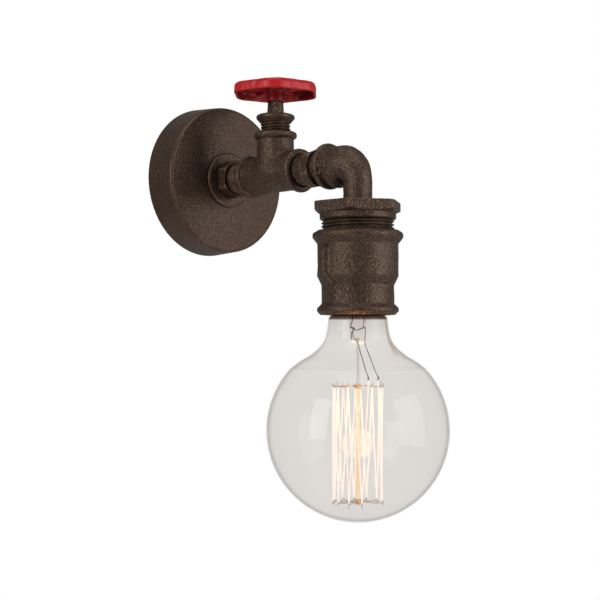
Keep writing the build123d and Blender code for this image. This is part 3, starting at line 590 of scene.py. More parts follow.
def metal(name, light, dark, rough=0.3, scale=(400.0, 400.0, 400.0), bumpy=0.15):
    m, nt, out = new_mat(name)
    bs = nt.nodes.new("ShaderNodeBsdfPrincipled")
    nt.links.new(bs.outputs[0], out.inputs[0])
    mp = nt.nodes.new("ShaderNodeMapping")
    mp.inputs["Scale"].default_value = scale
    nt.links.new(place(nt), mp.inputs["Vector"])
    a = noise_node(nt, mp.outputs[0], 1.0, 3.0, 0.6)
    b = noise_node(nt, place(nt), 60.0, 2.0, 0.5)
    col = ramp(nt, a, [(0.3, dark), (0.7, light)])
    col = mixc(nt, remap(nt, b, 0.35, 0.7, 0.0, 0.35), col, dark)
    nt.links.new(col, bs.inputs["Base Color"])
    bs.inputs["Metallic"].default_value = 1.0
    nt.links.new(remap(nt, a, 0.3, 0.7, rough + 0.12, rough - 0.05), bs.inputs["Roughness"])
    nt.links.new(bump(nt, a, bumpy, 0.0002), bs.inputs["Normal"])
    return m


def plastic(name, light, dark, rough=0.5, scale=300.0, bumpy=0.1):
    m, nt, out = new_mat(name)
    bs = nt.nodes.new("ShaderNodeBsdfPrincipled")
    nt.links.new(bs.outputs[0], out.inputs[0])
    a = noise_node(nt, place(nt), scale, 3.0, 0.6)
    nt.links.new(ramp(nt, a, [(0.3, dark), (0.7, light)]), bs.inputs["Base Color"])
    nt.links.new(remap(nt, a, 0.3, 0.7, rough + 0.08, rough - 0.05), bs.inputs["Roughness"])
    nt.links.new(bump(nt, a, bumpy, 0.0002), bs.inputs["Normal"])
    return m


view_x, view_y = math.cos(math.radians(VIEW)), math.sin(math.radians(VIEW))


def clear_glass(name, tint, edge_tint, gloss=1.0, rim=0.93, neck_painted_shade=False):
    """Thin blown glass: sees straight through, a little darker where it is seen edge on."""
    m, nt, out = new_mat(name)
    lw = nt.nodes.new("ShaderNodeLayerWeight")
    lw.inputs["Blend"].default_value = 0.5
    face = lw.outputs["Facing"]
    spots = noise_node(nt, place(nt), 45.0, 3.0, 0.5)
    tone = ramp(nt, face, [(0.0, tint), (0.70, tint), (rim, edge_tint), (1.0, edge_tint)])
    tone = mixc(nt, 1.0, tone, ramp(nt, spots, [(0.3, (0.990, 0.990, 0.990)), (0.7, (1.0, 1.0, 1.0))]), "MULTIPLY")
    if neck_painted_shade:
        # painted shade: on the side of the neck towards the right of the view, a brown double line is painted where the
        # glass is seen edge on
        sep = nt.nodes.new("ShaderNodeSeparateXYZ")
        nt.links.new(place(nt), sep.inputs[0])
        side = math_node(nt, "ADD", math_node(nt, "MULTIPLY", sep.outputs[0], view_x),
                         math_node(nt, "MULTIPLY", math_node(nt, "ADD", sep.outputs[1], REACH * MM), view_y))
        mask = math_node(nt, "MULTIPLY", remap(nt, side, 0.0120, 0.0190, 0.0, 1.0), remap(nt, sep.outputs[2], -0.1330, -0.1250, 0.0, 1.0))
        band = ramp(nt, face, [(0.0, (1, 1, 1)), (0.60, (1, 1, 1)), (0.68, (0.87, 0.83, 0.79)), (0.76, (0.985, 0.975, 0.96)), (0.86, (0.97, 0.95, 0.93)), (0.94, (0.70, 0.63, 0.56)), (1.0, (0.62, 0.54, 0.47))])
        tone = mixc(nt, mask, tone, mixc(nt, 1.0, tone, band, "MULTIPLY"))
        # thicker glass makes the neck a little darker; the dark rim at its top is a painted reflection of the dark cup
        # above it
        sep = nt.nodes.new("ShaderNodeSeparateXYZ")
        nt.links.new(place(nt), sep.inputs[0])
        shade = ramp(nt, remap(nt, sep.outputs[2], -0.1200, -0.1040, 0.0, 1.0),
                     [(0.0, (1, 1, 1)), (0.45, (0.975, 0.978, 0.978)), (0.80, (0.955, 0.955, 0.950)), (0.86, (0.62, 0.58, 0.55)), (1.0, (0.45, 0.40, 0.36))])
        tone = mixc(nt, 1.0, tone, shade, "MULTIPLY")
    tr = nt.nodes.new("ShaderNodeBsdfTransparent")
    nt.links.new(tone, tr.inputs["Color"])
    gl = nt.nodes.new("ShaderNodeBsdfGlossy")
    gl.inputs["Color"].default_value = (1, 1, 1, 1)
    gl.inputs["Roughness"].default_value = 0.07
    nt.links.new(bump(nt, noise_node(nt, place(nt), 30.0, 1.0, 0.5), 0.05, 0.004), gl.inputs["Normal"])
    p2 = math_node(nt, "MULTIPLY", face, face)
    p4 = math_node(nt, "MULTIPLY", p2, p2)
    p5 = math_node(nt, "MULTIPLY", p4, face)
    mirror = remap(nt, p5, 0.0, 1.0, 0.035 * gloss, 0.55 * gloss)
    mx = nt.nodes.new("ShaderNodeMixShader")
    nt.links.new(mirror, mx.inputs[0])
    nt.links.new(tr.outputs[0], mx.inputs[1])
    nt.links.new(gl.outputs[0], mx.inputs[2])
    nt.links.new(mx.outputs[0], out.inputs[0])
    return m


def glow(name, strength, hot, warm, scale=90.0, body=(0.10, 0.07, 0.05), spread=(0.3, 0.7)):
    m, nt, out = new_mat(name)
    bs = nt.nodes.new("ShaderNodeBsdfPrincipled")
    nt.links.new(bs.outputs[0], out.inputs[0])
    a = noise_node(nt, place(nt), scale, 2.0, 0.5)
    col = ramp(nt, a, [(spread[0], warm), (spread[1], hot)])
    nt.links.new(col, bs.inputs["Emission Color"])
    bs.inputs["Emission Strength"].default_value = strength
    bs.inputs["Base Color"].default_value = (*body, 1.0)
    bs.inputs["Roughness"].default_value = 0.6
    return m


COVER = brown_paint("cover_paint", tint=(0.80, 0.80, 0.80), grain=820.0, peel=0.28, speck=0.40, rough=0.34, metal=0.15, rim=True)
IRON = brown_paint("fitting_paint", grain=700.0, peel=0.95, speck=0.8, rough=0.36)
NIPPLE = brown_paint("nipple_paint", tint=(1.0, 0.95, 0.88), grain=1000.0, peel=0.5, speck=0.6, edge=1.5, rough=0.33, metal=0.30)
STEM = brown_paint("stem_paint", tint=(1.0, 1.10, 1.12), grain=700.0, peel=0.5, speck=0.5, rough=0.33, metal=0.35)
RED = red_enamel("red_enamel")
STEEL = metal("screw_steel", (0.62, 0.61, 0.58), (0.36, 0.35, 0.33), 0.30)
ZINC = metal("zinc_plate", (0.60, 0.60, 0.58), (0.38, 0.38, 0.38), 0.34, (90.0, 90.0, 90.0))
BRASS = metal("plain_brass", (0.75, 0.56, 0.27), (0.50, 0.34, 0.13), 0.26)
NICKEL = metal("nickelled_brass", (0.70, 0.64, 0.52), (0.45, 0.40, 0.30), 0.24)
PORCELAIN = plastic("porcelain", (0.80, 0.78, 0.73), (0.70, 0.68, 0.62), 0.18, 200.0, 0.05)
STEATITE = plastic("steatite", (0.74, 0.71, 0.64), (0.60, 0.57, 0.50), 0.62, 500.0, 0.25)
BLACKGLASS = plastic("black_glass", (0.012, 0.010, 0.016), (0.006, 0.005, 0.008), 0.12, 120.0, 0.03)
BROWN_WIRE = plastic("brown_sleeve", (0.16, 0.07, 0.03), (0.10, 0.04, 0.02), 0.42, 350.0, 0.1)
BLUE_WIRE = plastic("blue_sleeve", (0.03, 0.10, 0.42), (0.02, 0.06, 0.28), 0.42, 350.0, 0.1)
GLASS = clear_glass("globe_glass", (0.930, 0.921, 0.912), (0.835, 0.82, 0.80), 0.22, 0.96, True)
PRESSED = clear_glass("pressed_glass", (0.985, 0.975, 0.955), (0.50, 0.41, 0.32), 0.7, 0.92)
ROD_GLASS = clear_glass("rod_glass", (0.90, 0.885, 0.85), (0.34, 0.29, 0.23), 0.4, 0.82)
STRAND = glow("glowing_strand", 1.12, (1.0, 0.94, 0.85), (1.0, 0.82, 0.72), 160.0)
# painted light: the glass rod between the beads and the beads glow, though only the strands give light
ROD = glow("rod_painted_glow", 0.95, (1.0, 0.80, 0.56), (1.0, 0.64, 0.36), 55.0)
BEAD = glow("bead_painted_glow", 0.80, (1.0, 0.74, 0.48), (0.42, 0.20, 0.09), 900.0, (0.10, 0.07, 0.05), (0.38, 0.62))
LEAD = metal("lead_wire", (0.42, 0.36, 0.30), (0.20, 0.16, 0.13), 0.45)


def stripes(name):
    """Green sleeve with yellow stripes, round a wire."""
    m, nt, out = new_mat(name)
    bs = nt.nodes.new("ShaderNodeBsdfPrincipled")
    nt.links.new(bs.outputs[0], out.inputs[0])
    w = nt.nodes.new("ShaderNodeTexWave")
    w.wave_type = "BANDS"
    w.bands_direction = "DIAGONAL"
    w.inputs["Scale"].default_value = 150.0
    nt.links.new(place(nt), w.inputs["Vector"])
    nt.links.new(ramp(nt, w.outputs["Fac"], [(0.45, (0.03, 0.28, 0.05)), (0.55, (0.62, 0.52, 0.02))]), bs.inputs["Base Color"])
    bs.inputs["Roughness"].default_value = 0.42
    return m


EARTH = stripes("earth_sleeve")

# ============================================================ modelled pieces
def replace(name, node, v, faces, mat, body, **kw):
    ob = build(name, v, faces, mat, body, **kw)
    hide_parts(node)
    return ob


# ------------------------------------------------------------------ the tee
def tee_shape(x, y, z):
    yy = y - TEE_Y
    rr, rb = np.hypot(x, z), np.hypot(x, yy)
    run = smax(rr - 13.5, np.abs(yy) - 28.25, 1.0)
    branch = smax(smax(rb - 13.4, z - 30.05, 1.0), -z, 0.5)
    d = smin(run, branch, 5.0)
    for s in (1, -1):
        band = smax(rr - 15.65 + 0.02 * (s * yy - 26) ** 2, np.abs(s * yy - 25.95) - 2.3, 2.2)
        d = smin(d, band, 1.3)
    band = smax(rb - 15.65 + 0.02 * (z - 27.8) ** 2, np.abs(z - 27.75) - 2.3, 2.2)
    d = smin(d, band, 1.3)
    # bores and the recess at each mouth
    hole = rr - 9.4
    for s in (1, -1):
        a = s * yy - 28.25
        hole = np.minimum(hole, smax(rr - 11.75 - np.clip(a, -1.0, 0.0) * 0.8, -(a + 13.0), 0.4))
    a = z - 30.05
    hole = np.minimum(hole, smax(rb - 9.4, -z, 0.4))
    hole = np.minimum(hole, smax(rb - 11.75 - np.clip(a, -1.0, 0.0) * 0.8, -(a + 13.0), 0.4))
    return smax(d, -hole, 0.5)


v, f = surface_nets(tee_shape, (-16.6, TEE_Y - 29.2, -16.6), (16.6, TEE_Y + 29.2, 31.0), 0.46)
v = roughen(v, f, CAST)
replace("tee_casting", "tee", v, f, IRON, "arm", wear_and_shade_relief=True)


# ---------------------------------------------------------------- the elbow
BEND = 14.0
FACE = -130.6


def elbow_shape(x, y, z):
    u = -(y + REACH - BEND)
    w = z + BEND
    rr = np.hypot(x, z)
    rl = np.hypot(x, y + REACH)
    run = smax(smax(rr - 13.3, y - FACE, 1.0), u - 0.02, 0.05)
    phi = np.clip(np.arctan2(u, w), 0, math.pi / 2)
    ring = np.sqrt(x * x + (np.hypot(u, w) - BEND) ** 2)
    q = phi / (math.pi / 2)
    bend = ring - (13.3 + (9.95 - 13.3) * step01(q))
    bend = np.where((u < 0) | (w < 0), np.maximum(bend, np.maximum(-u, -w)), bend)
    leg = smax(smax(rl - 9.95, w - 0.02, 0.05), -41.0 - z, 0.8)
    d = np.minimum(np.minimum(run, bend), leg)
    d = np.minimum(d, smin(run, leg, 8.5))
    belly = (np.sqrt((x / 12.2) ** 2 + ((y + 142.6) / 8.6) ** 2 + ((z + 3.4) / 12.4) ** 2) - 1.0) * 11.0
    d = smin(d, belly, 2.4)
    d = np.maximum(d, (1.0 - np.hypot((rl - 9.95) / 1.35, (z + 26.2) / 0.75)) * 0.75)
    a = y - FACE
    band = smax(rr - 16.05 + 0.02 * (a + 2.6) ** 2, np.abs(a + 2.6) - 2.6, 2.4)
    d = smin(d, band, 1.5)
    # cast bar and button beside the mouth
    bar = smax(smax(np.abs(z - 0.4) - 2.3, np.abs(y + 139.4) - 4.1, 0.8), rr - 14.75, 0.4)
    bar = np.minimum(bar, smax(smax(np.abs(z - 0.3) - 3.1, np.abs(y + 142.9) - 0.75, 0.6), rr - 14.6, 0.4))
    bar = smax(bar, x + 6.0, 0.5)
    d = smin(d, bar, 0.45)
    knob = np.sqrt((x + 12.45) ** 2 + (y + 136.6) ** 2 + (z + 5.5) ** 2) - 1.4
    d = smin(d, knob, 0.6)
    hole = smax(rr - 11.75 - np.clip(a, -1.0, 0.0) * 0.8, -(a + 13.4), 0.5)
    hole = np.minimum(hole, smax(rr - 7.2, u - 1.0, 0.4))
    core = np.where((u > -1) & (w > -1), ring - 7.2, 50.0)
    hole = np.minimum(hole, core)
    hole = np.minimum(hole, smax(rl - 7.2, w - 1.0, 0.4))
    return smax(d, -hole, 0.5)


v, f = surface_nets(elbow_shape, (-17.0, -REACH - 11.0, -42.0), (17.0, FACE + 1.0, 17.0), 0.46)
v = roughen(v, f, CAST)
replace("elbow_casting", "street_elbow", v, f, IRON, "arm", wear_and_shade_relief=True)


# ------------------------------------------------------------------- threads
def groove(t, h, pitch, sharp=0.75):
    """0 on the crest and 1 in the root of a helix."""
    q = np.mod(h / pitch - t / (2 * math.pi), 1.0)
    g = 0.5 - 0.5 * np.cos(2 * math.pi * q)
    return g ** sharp


def chain(points, steps):
    """Closed profile with its own step on each side: points are (r, h), steps one number each."""
    out = []
    n = len(points)
    for i in range(n):
        a, b = np.array(points[i][:2], float), np.array(points[(i + 1) % n][:2], float)
        k = max(1, int(math.ceil(np.linalg.norm(b - a) / steps[i])))
        for q in range(k):
            out.append(a + (b - a) * q / k)
    return np.array(out)


def ease(h, a, b, w):
    """1 between a and b, fading over w at each end."""
    lo, hi = min(a, b), max(a, b)
    return step01((h - lo) / w) * step01((hi - h) / w)


# ------------------------------------------------------------------- bonnet
prof = chain([(8.2, 19.2), (10.3, 19.2), (11.0, 20.2), (11.0, 36.6), (11.4, 37.1), (12.2, 38.1), (13.2, 39.2),
              (13.75, 39.8), (14.0, 40.6), (13.95, 41.5), (13.5, 42.3), (12.6, 42.8), (11.2, 43.15), (9.5, 43.2),
              (4.56, 43.2), (4.56, 33.9), (8.2, 33.9)],
             [1.0, 0.6, 0.26, 0.5, 0.5, 0.5, 0.4, 0.4, 0.4, 0.4, 0.4, 0.5, 0.8, 1.6, 4.0, 2.0, 4.0])


def bonnet_r(r, h, t):
    cut = ease(h, 20.0, 37.2, 0.8) * (r > 10.6) * (h < 37.3)
    return r - 1.05 * cut * groove(t, h + 0.4, 2.2)


v, f = lathe(prof, 168, "z", AT_TEE, bonnet_r)
v = roughen(v, f, [(0.05, 4.0, 13), (0.035, 1.4, 15)])
replace("bonnet_turned", "bonnet", v, f, NIPPLE, "arm", wear_and_shade_relief=True)


# --------------------------------------------------------- hexagon nipples
def nipple(name, node, left, h_a, h_b, right, apothem, corner_at, chamfer, collar, mat, seed, pitch=1.814):
    """Threaded both sides of a hexagon; h runs from left (near the wall) to right, decreasing."""
    pts = [(7.6, left), (10.1, left), (11.0, left - 0.9)]
    st = [1.2, 0.6, 0.26]
    if collar:
        pts += [(11.0, collar[0]), (11.4, collar[0] - 0.3), (11.4, collar[1]), (10.2, collar[1] - 0.1)]
        st += [0.3, 0.9, 0.3, 0.3]
    pts += [(10.2 if collar else 11.0, h_a), (99.0, h_a), (99.0, h_b), (11.0, h_b - 0.02), (11.0, right + 0.9), (10.1, right), (7.6, right)]
    st += [0.5, 0.45, 0.8, 0.26, 0.6, 1.2, 6.0]
    big = apothem / math.cos(math.pi / 6)
    prof_pts = []
    n = len(pts)
    for i in range(n):
        a, b = np.array(pts[i], float), np.array(pts[(i + 1) % n], float)
        if b[0] > 90:
            b = np.array([big, b[1]])
        if a[0] > 90:
            a = np.array([big, a[1]])
        k = max(1, int(math.ceil(np.linalg.norm(b - a) / st[i])))
        for q in range(k):
            p = a + (b - a) * q / k
            prof_pts.append((p[0], p[1]))
    P = np.array(prof_pts)

    def rf(r, h, t):
        near = np.minimum(h_a - h, h - h_b)
        hexr = smin(hex_r(t, apothem, corner_at), chamfer + np.maximum(near, 0) * 1.5, 0.4)
        inhex = (near >= -1e-6) & (r > 11.25)
        out = np.where(inhex, 11.2 + (r - 11.2) / (big - 11.2) * (hexr - 11.2), r)
        screw = (r > 10.9) & (r < 11.15) & ~inhex
        fade = np.where(h > h_a, ease(h, (collar[0] if collar else h_a), left, 0.7), ease(h, h_b + 0.3, right, 0.7))
        return np.where(screw, out - 1.05 * fade * groove(t, h, pitch), out)

    v, f = lathe(P, 216, "y", (0, 0), rf, phase=corner_at)
    v = roughen(v, f, [(0.07, 4.0, seed), (0.045, 1.5, seed + 2)])
    replace(name, node, v, f, mat, "arm", wear_and_shade_relief=True)


v, f = lathe(rounded([(11.18, -25.51), (20.73, -25.51, 0.5), (20.73, -28.08, 1.45), (11.18, -28.08)], 0.5), 180, "y", (0, 0))
v = roughen(v, f, [(0.06, 5.0, 71)])
replace("entry_washer_rounded", "entry_washer", v, f, COVER, "arm", wear_and_shade_relief=True)

nipple("entry_nipple_turned", "entry_nipple", -15.0, -28.1, -37.0, -60.5, 12.5, math.radians(30), 12.9, None, NIPPLE, 21, 2.6)
nipple("link_nipple_turned", "link_nipple", -95.95, -116.3, -123.8, -141.6, 12.0, math.radians(20.0), 12.1,
       (-107.3, -116.15), NIPPLE, 27)

# -------------------------------------------------------------- big bushing
HEXT, HEXB = -26.8, -34.6
BIG = 27.0 / math.cos(math.pi / 6)
prof = chain([(10.0, HEXT), (BIG, HEXT), (BIG, HEXB + 1.9), (26.4, HEXB), (26.2, HEXB - 0.3), (26.1, -38.3),
              (25.7, -38.8), (25.0, -39.1), (25.0, -53.2), (23.7, -54.0), (20.5, -54.0), (20.5, -45.5), (10.0, -43.0)],
             [0.8, 0.4, 0.4, 0.3, 0.5, 0.3, 0.3, 0.27, 0.5, 1.0, 1.5, 1.5, 2.0])


def bushing_r(r, h, t):
    ang = math.radians(32.8)
    top = BIG - 0.55 + np.maximum(HEXT - h, 0) * 1.6
    low = 26.4 + np.maximum(h - HEXB, 0) / 1.9 * 4.9
    hexr = smin(smin(hex_r(t, 27.0, ang), top, 0.5), low, 0.5)
    inhex = (h > HEXB + 1e-6) & (r > 20.0)
    out = np.where(inhex, 20 + (r - 20) / (BIG - 20) * (np.minimum(hexr, BIG) - 20), r)
    slant = (h > HEXB) & (h < HEXB + 1.9 - 1e-6) & (r > 26.3) & (r < BIG - 0.02)
    out = np.where(slant, np.minimum(r, hexr), out)
    screw = (r > 24.9) & (r < 25.1) & (h < -39.05)
    return np.where(screw, out - 1.55 * ease(h, -39.1, -53.6, 0.5) * groove(t, h + 0.683, 2.309), out)


v, f = lathe(prof, 288, "z", AT_LAMP, bushing_r, phase=math.radians(32.8))
v = roughen(v, f, [(0.13, 6.0, 33), (0.07, 1.8, 35), (0.03, 1.0, 37)])
replace("bushing_casting", "reducing_bushing", v, f, IRON, "arm", wear_and_shade_relief=True)

# -------------------------------------------------------------- big socket
prof = rounded([(25.9, -46.2), (25.05, -47.1), (25.05, -56.0), (21.3, -56.0), (21.3, -101.6), (20.9, -103.8, 0.6),
                (25.4, -103.8, 1.6), (27.95, -101.3, 1.1), (27.85, -99.1, 0.5), (24.75, -96.2, 1.0), (24.75, -83.6, 2.4),
                (27.65, -77.4, 2.4), (27.65, -55.6, 2.2), (31.05, -50.8, 1.6), (30.6, -48.2, 1.6), (27.2, -46.2, 1.0)], 0.62)


def socket_r(r, h, t):
    deg = np.degrees(np.mod(t, 2 * math.pi))
    outer = r > 24.0
    # two upright ribs that run on down the taper, slanting
    lean = np.where(h < -74.5, (-74.5 - h) * 1.75, 0.0)
    ridge = 0.0
    for c in (166.5, 178.5):
        ridge = ridge + np.exp(-(((deg - c - lean) * math.pi / 180 * 27.6) / 0.72) ** 2)
    span = step01((-58.5 - h) / 2.0) * step01((h + 89.5) / 2.0)
    tall = 0.72 + 0.22 * np.sin(h * 2.9) + 0.35 * step01((-73.0 - h) / 3.0)
    nick = np.exp(-((h + 57.2 + 0.05 * (deg - 171)) / 0.55) ** 2) * np.exp(-((deg - 171.5) / 6.5) ** 4)
    return r + np.where(outer, tall * ridge * span - 0.65 * nick, 0.0)


v, f = lathe(prof, 340, "z", AT_LAMP, socket_r)
v = roughen(v, f, [(0.17, 7.0, 43), (0.10, 2.1, 45), (0.045, 1.1, 47)])
replace("socket_casting", "reducing_socket", v, f, IRON, "arm", wear_and_shade_relief=True)


# --------------------------------------------------------------- handwheel
def hex_field(x, y, apothem):
    """Signed distance to a hexagon with corners on +-x."""
    k0, k1, k2 = -math.sqrt(3) / 2, 0.5, 1 / math.sqrt(3)
    px, py = np.abs(x), np.abs(y)
    m = 2 * np.minimum(k0 * px + k1 * py, 0.0)
    px, py = px - m * k0, py - m * k1
    px = px - np.clip(px, -k2 * apothem, k2 * apothem)
    py = py - apothem
    return np.hypot(px, py) * np.sign(py)


TURN = math.radians(43.8)


def wheel_shape(x, y, z):
    yy = y - TEE_Y
    X = x * math.cos(TURN) + yy * math.sin(TURN)
    Y = -x * math.sin(TURN) + yy * math.cos(TURN)
    r = np.hypot(X, Y)
    edge = hex_field(X, Y, 29.402 - 13.2) - 13.2
    outer = smax(edge, z - 64.68, 3.6)
    outer = smax(outer, 57.02 - z, 1.2)
    room = smax(hex_field(X, Y, 29.402 - 13.2) - 11.4, z - 63.25, 2.6)
    shell = smax(outer, -room, 0.9)
    flare = 6.6 + 2.4 * step01((z - 59.8) / 3.6)
    hub = smax(smax(r - flare, z - 64.2, 0.6), 52.6 - z, 0.8)
    d = smin(shell, hub, 1.2)
    a = np.arctan2(Y, X)
    q = np.mod(a, math.pi / 3) - math.pi / 6
    across, along = r * np.sin(q), r * np.cos(q)
    rib = smax(smax(np.abs(across) - 1.25, 60.3 + 0.05 * (along - 6) - z, 0.8), z - 63.6, 0.4)
    rib = smax(rib, edge + 0.8, 0.4)
    d = smin(d, rib, 1.6)
    q = np.mod(a + math.pi / 6, math.pi / 3) - math.pi / 6
    across, along = r * np.sin(q), r * np.cos(q)
    win = smax(np.abs(across) - (2.7 + (along - 8.2) * 0.30), np.abs(along - 14.0) - 5.8, 1.6)
    win = smax(win, 59.5 - z, 0.3)
    d = smax(d, -win, 0.9)
    dish = 64.72 - 0.75 * step01((18.5 - r) / 6.0)
    d = smax(d, (z - dish) * 0.97, 0.6)
    s = math.radians(-19.4)
    sx = x * math.cos(s) + yy * math.sin(s)
    sy = -x * math.sin(s) + yy * math.cos(s)
    half = 4.73 - 0.0506 * (z - 43.3) - 0.06
    return smax(d, -np.maximum(np.abs(sx), np.abs(sy)) + half, 0.2)


v, f = surface_nets(wheel_shape, (-34.4, TEE_Y - 34.4, 51.9), (34.4, TEE_Y + 34.4, 65.6), 0.45)
v = roughen(v, f, [(0.22, 9.0, 51), (0.10, 3.2, 53), (0.03, 1.2, 55)])
v[:, 2] = np.minimum(v[:, 2], 64.98)
replace("handwheel_enamelled", "handwheel", v, f, RED, "wheel", wear_and_shade_relief=True)


# -------------------------------------------------------------------- lamp
def globe(inset):
    """Half outline of the glass from the shoulder down to the pole."""
    r = GLOBE_R - inset
    knots = [(19.6 - inset * 0.8, -105.2 - inset * 0.6)]
    knots += [(a - inset, b - inset * 0.25) for a, b in
              ((20.25, -106.9), (20.8, -111.5), (21.6, -116.2), (23.0, -120.9), (25.3, -124.4),
               (28.4, -127.8), (33.8, -131.9), (40.0, -135.6))]
    belly = [(r * math.cos(math.radians(q)), GLOBE_Z + r * math.sin(math.radians(q))) for q in np.arange(42, -90.01, -3.0)]
    belly[-1] = (0.02, GLOBE_Z - r)
    neck = curve_points(knots + belly[:2], 5)
    neck = [tuple(p) for p in neck[:-5]]
    return neck + belly


out = [(11.4, -93.5), (11.4, -97.5), (11.4, -100.4), (11.7, -101.5), (12.6, -102.2), (15.4, -102.9), (17.2, -103.3), (18.6, -104.1)] + globe(0.0)
inn = [(10.5, -93.5), (10.5, -97.5), (10.5, -100.7), (10.9, -102.1), (12.0, -103.0), (15.1, -103.9), (16.7, -104.3), (17.9, -104.9)] + globe(0.9)
v, f = lathe(np.array(out + inn[::-1]), 176, "z", AT_LAMP)
wob = lump(v[:, 0], v[:, 1], v[:, 2], 26.0, 61)
n = point_normals(v, f)
low = step01((-100.0 - v[:, 2]) / 10.0)
v = v - n * (0.06 * (wob + 1) * low)[:, None]
replace("lamp_globe_blown", "lamp_glass", v, f, GLASS, "lamp")

view_r = np.array([math.cos(math.radians(VIEW)), math.sin(math.radians(VIEW)), 0.0])
view_a = np.array([-math.sin(math.radians(VIEW)), math.cos(math.radians(VIEW)), 0.0])
AX = np.array([0.0, -REACH, 0.0])


def at(side, depth, z):
    """Point beside the lamp axis, measured across and into the picture."""
    return AX + view_r * side + view_a * depth + np.array([0, 0, z])


# pressed glass foot: flared tube closed to a flat, with the wires sealed in it
def foot_shape(x, y, z):
    s = (x - AX[0]) * view_r[0] + (y - AX[1]) * view_r[1]
    w = (x - AX[0]) * view_a[0] + (y - AX[1]) * view_a[1]
    r = np.hypot(s, w)
    flare = 6.25 + 4.4 * step01((z + 99.5) / 6.0) - 0.9 * step01((-103.0 - z) / 6.0)
    t = step01((-104.5 - z) / 7.0)
    # the section goes from round to flat
    flat = smax(np.abs(s) - 5.3 + 0.3 * step01((-113.5 - z) / 4), np.abs(w) - 2.3, 1.5)
    body = (r - flare) * (1 - t) + flat * t
    body = smax(body, z + 93.6, 0.5)
    body = smax(body, -120.9 - z, 1.6)
    room = smax(r - (flare - 1.0), -105.5 - z, 1.5)
    return smax(body, -room, 0.4)


v, f = surface_nets(foot_shape, (-11.4, -REACH - 11.4, -121.8), (11.4, -REACH + 11.4, -93.0), 0.5)
v = roughen(v, f, [(0.30, 3.0, 63), (0.12, 1.3, 65)])
replace("lamp_foot_pressed", "lamp_glass_mount", v, f, PRESSED, "lamp")

# rod with two beads
z_top, z_low = -152.6, -231.0
prof = chain([(0.02, -119.2), (1.0, -119.4), (0.95, -121.5), (0.92, z_top + 3.0), (1.3, z_top + 2.0), (2.1, z_top + 1.3),
              (2.3, z_top + 0.4), (2.25, z_top - 0.8), (1.9, z_top - 1.7), (1.5, z_top - 2.2), (1.45, z_top - 4.0),
              (1.35, z_low + 3.0), (1.4, z_low + 2.0), (2.0, z_low + 1.4), (2.3, z_low + 0.5), (2.2, z_low - 0.9),
              (1.5, z_low - 1.9), (0.7, z_low - 2.35), (0.02, z_low - 2.4)],
             [0.5, 1.0, 2.0] + [0.4] * 7 + [3.0] + [0.4] * 7 + [9.0])
v, f = lathe(prof, 28, "z", AT_LAMP)
v = roughen(v, f, [(0.06, 2.0, 67)])
mid_z = v[f[0]][:, :, 2].mean(1)
part_of = (mid_z > z_top + 2.2).astype(int)
part_of[(np.abs(mid_z - z_top) < 1.9) | (mid_z < z_low + 1.9)] = 2
# the rod between the beads and the beads take the painted glow; the rod above them is clear glass
replace("lamp_rod_beaded", "lamp_glass_rod", v, f, ROD, "lamp", mats=[ROD, ROD_GLASS, BEAD], slots=part_of)

# strands: each runs straight between its hooks, a little slack, round over each hook
N_TOP, CAGE = 12, 16.9
gap0 = VIEW - 38.2
ring = lambda k, z: AX + np.array([CAGE * math.cos(math.radians(gap0 + 360.0 / N_TOP * k)),
                                   CAGE * math.sin(math.radians(gap0 + 360.0 / N_TOP * k)), z])
tops = [ring(k, z_top) for k in range(N_TOP)]
feet = [ring(k + 0.5, z_low) for k in range(N_TOP - 1)]
route = []
for k in range(N_TOP - 1):
    route += [tops[k], feet[k]]
route.append(tops[-1])
LIFT = 5.4
start = tops[0] + np.array([0, 0, LIFT])
end = tops[-1] + np.array([0, 0, LIFT])
path = [start, start - np.array([0, 0, LIFT * 0.5])]
for i in range(len(route) - 1):
    a, b = route[i], route[i + 1]
    d = b - a
    mid_n = np.array([a[0] + b[0], a[1] + b[1], 0]) / 2 - AX
    mid_n[2] = 0
    mid_n /= np.linalg.norm(mid_n)
    bow = 0.28 * math.sin(i * 2.3 + 0.7)
    side = np.cross(mid_n, [0, 0, 1.0])
    for q in (0.012, 0.03, 0.08, 0.2, 0.35, 0.5, 0.65, 0.8, 0.92, 0.97, 0.988):
        path.append(a + d * q + (mid_n * bow + side * 0.2 * math.cos(i * 1.9)) * math.sin(math.pi * q))
path += [end - np.array([0, 0, LIFT * 0.5]), end]
v, f = tube(np.array(path), STRAND_R, 8)
replace("lamp_strands", "lamp_filament", v, f, STRAND, "lamp")

# supports: from each bead out to a strand, ending in a small curl
parts = []
for k, p in enumerate(tops[1:-1] + feet):
    up = 1.0 if k < len(tops) - 2 else -1.0
    z_hub = z_top if up > 0 else z_low
    out_v = np.array([p[0] - AX[0], p[1] - AX[1], 0.0])
    out_v /= np.linalg.norm(out_v)
    wave_v = 0.35 * math.sin(k * 2.1)
    sag = -0.9 if up < 0 else -0.3
    knots = [AX + np.array([0, 0, z_hub]) + out_v * 1.9,
             AX + np.array([0, 0, z_hub + wave_v * 0.6 + 0.3 * up]) + out_v * 6.5,
             AX + np.array([0, 0, z_hub + sag * 0.4 - wave_v * 0.5]) + out_v * 12.0,
             AX + np.array([0, 0, z_hub - 0.15 * up]) + out_v * 16.3,
             AX + np.array([0, 0, z_hub + 0.9 * up]) + out_v * 17.5,
             AX + np.array([0, 0, z_hub + (2.4 + 0.8 * math.sin(k * 1.7)) * up]) + out_v * 17.2]
    parts.append(tube(curve_points(knots, 5), 0.2, 6))
v, f = join(parts)
replace("lamp_hooks", "lamp_supports", v, f, LEAD, "lamp")

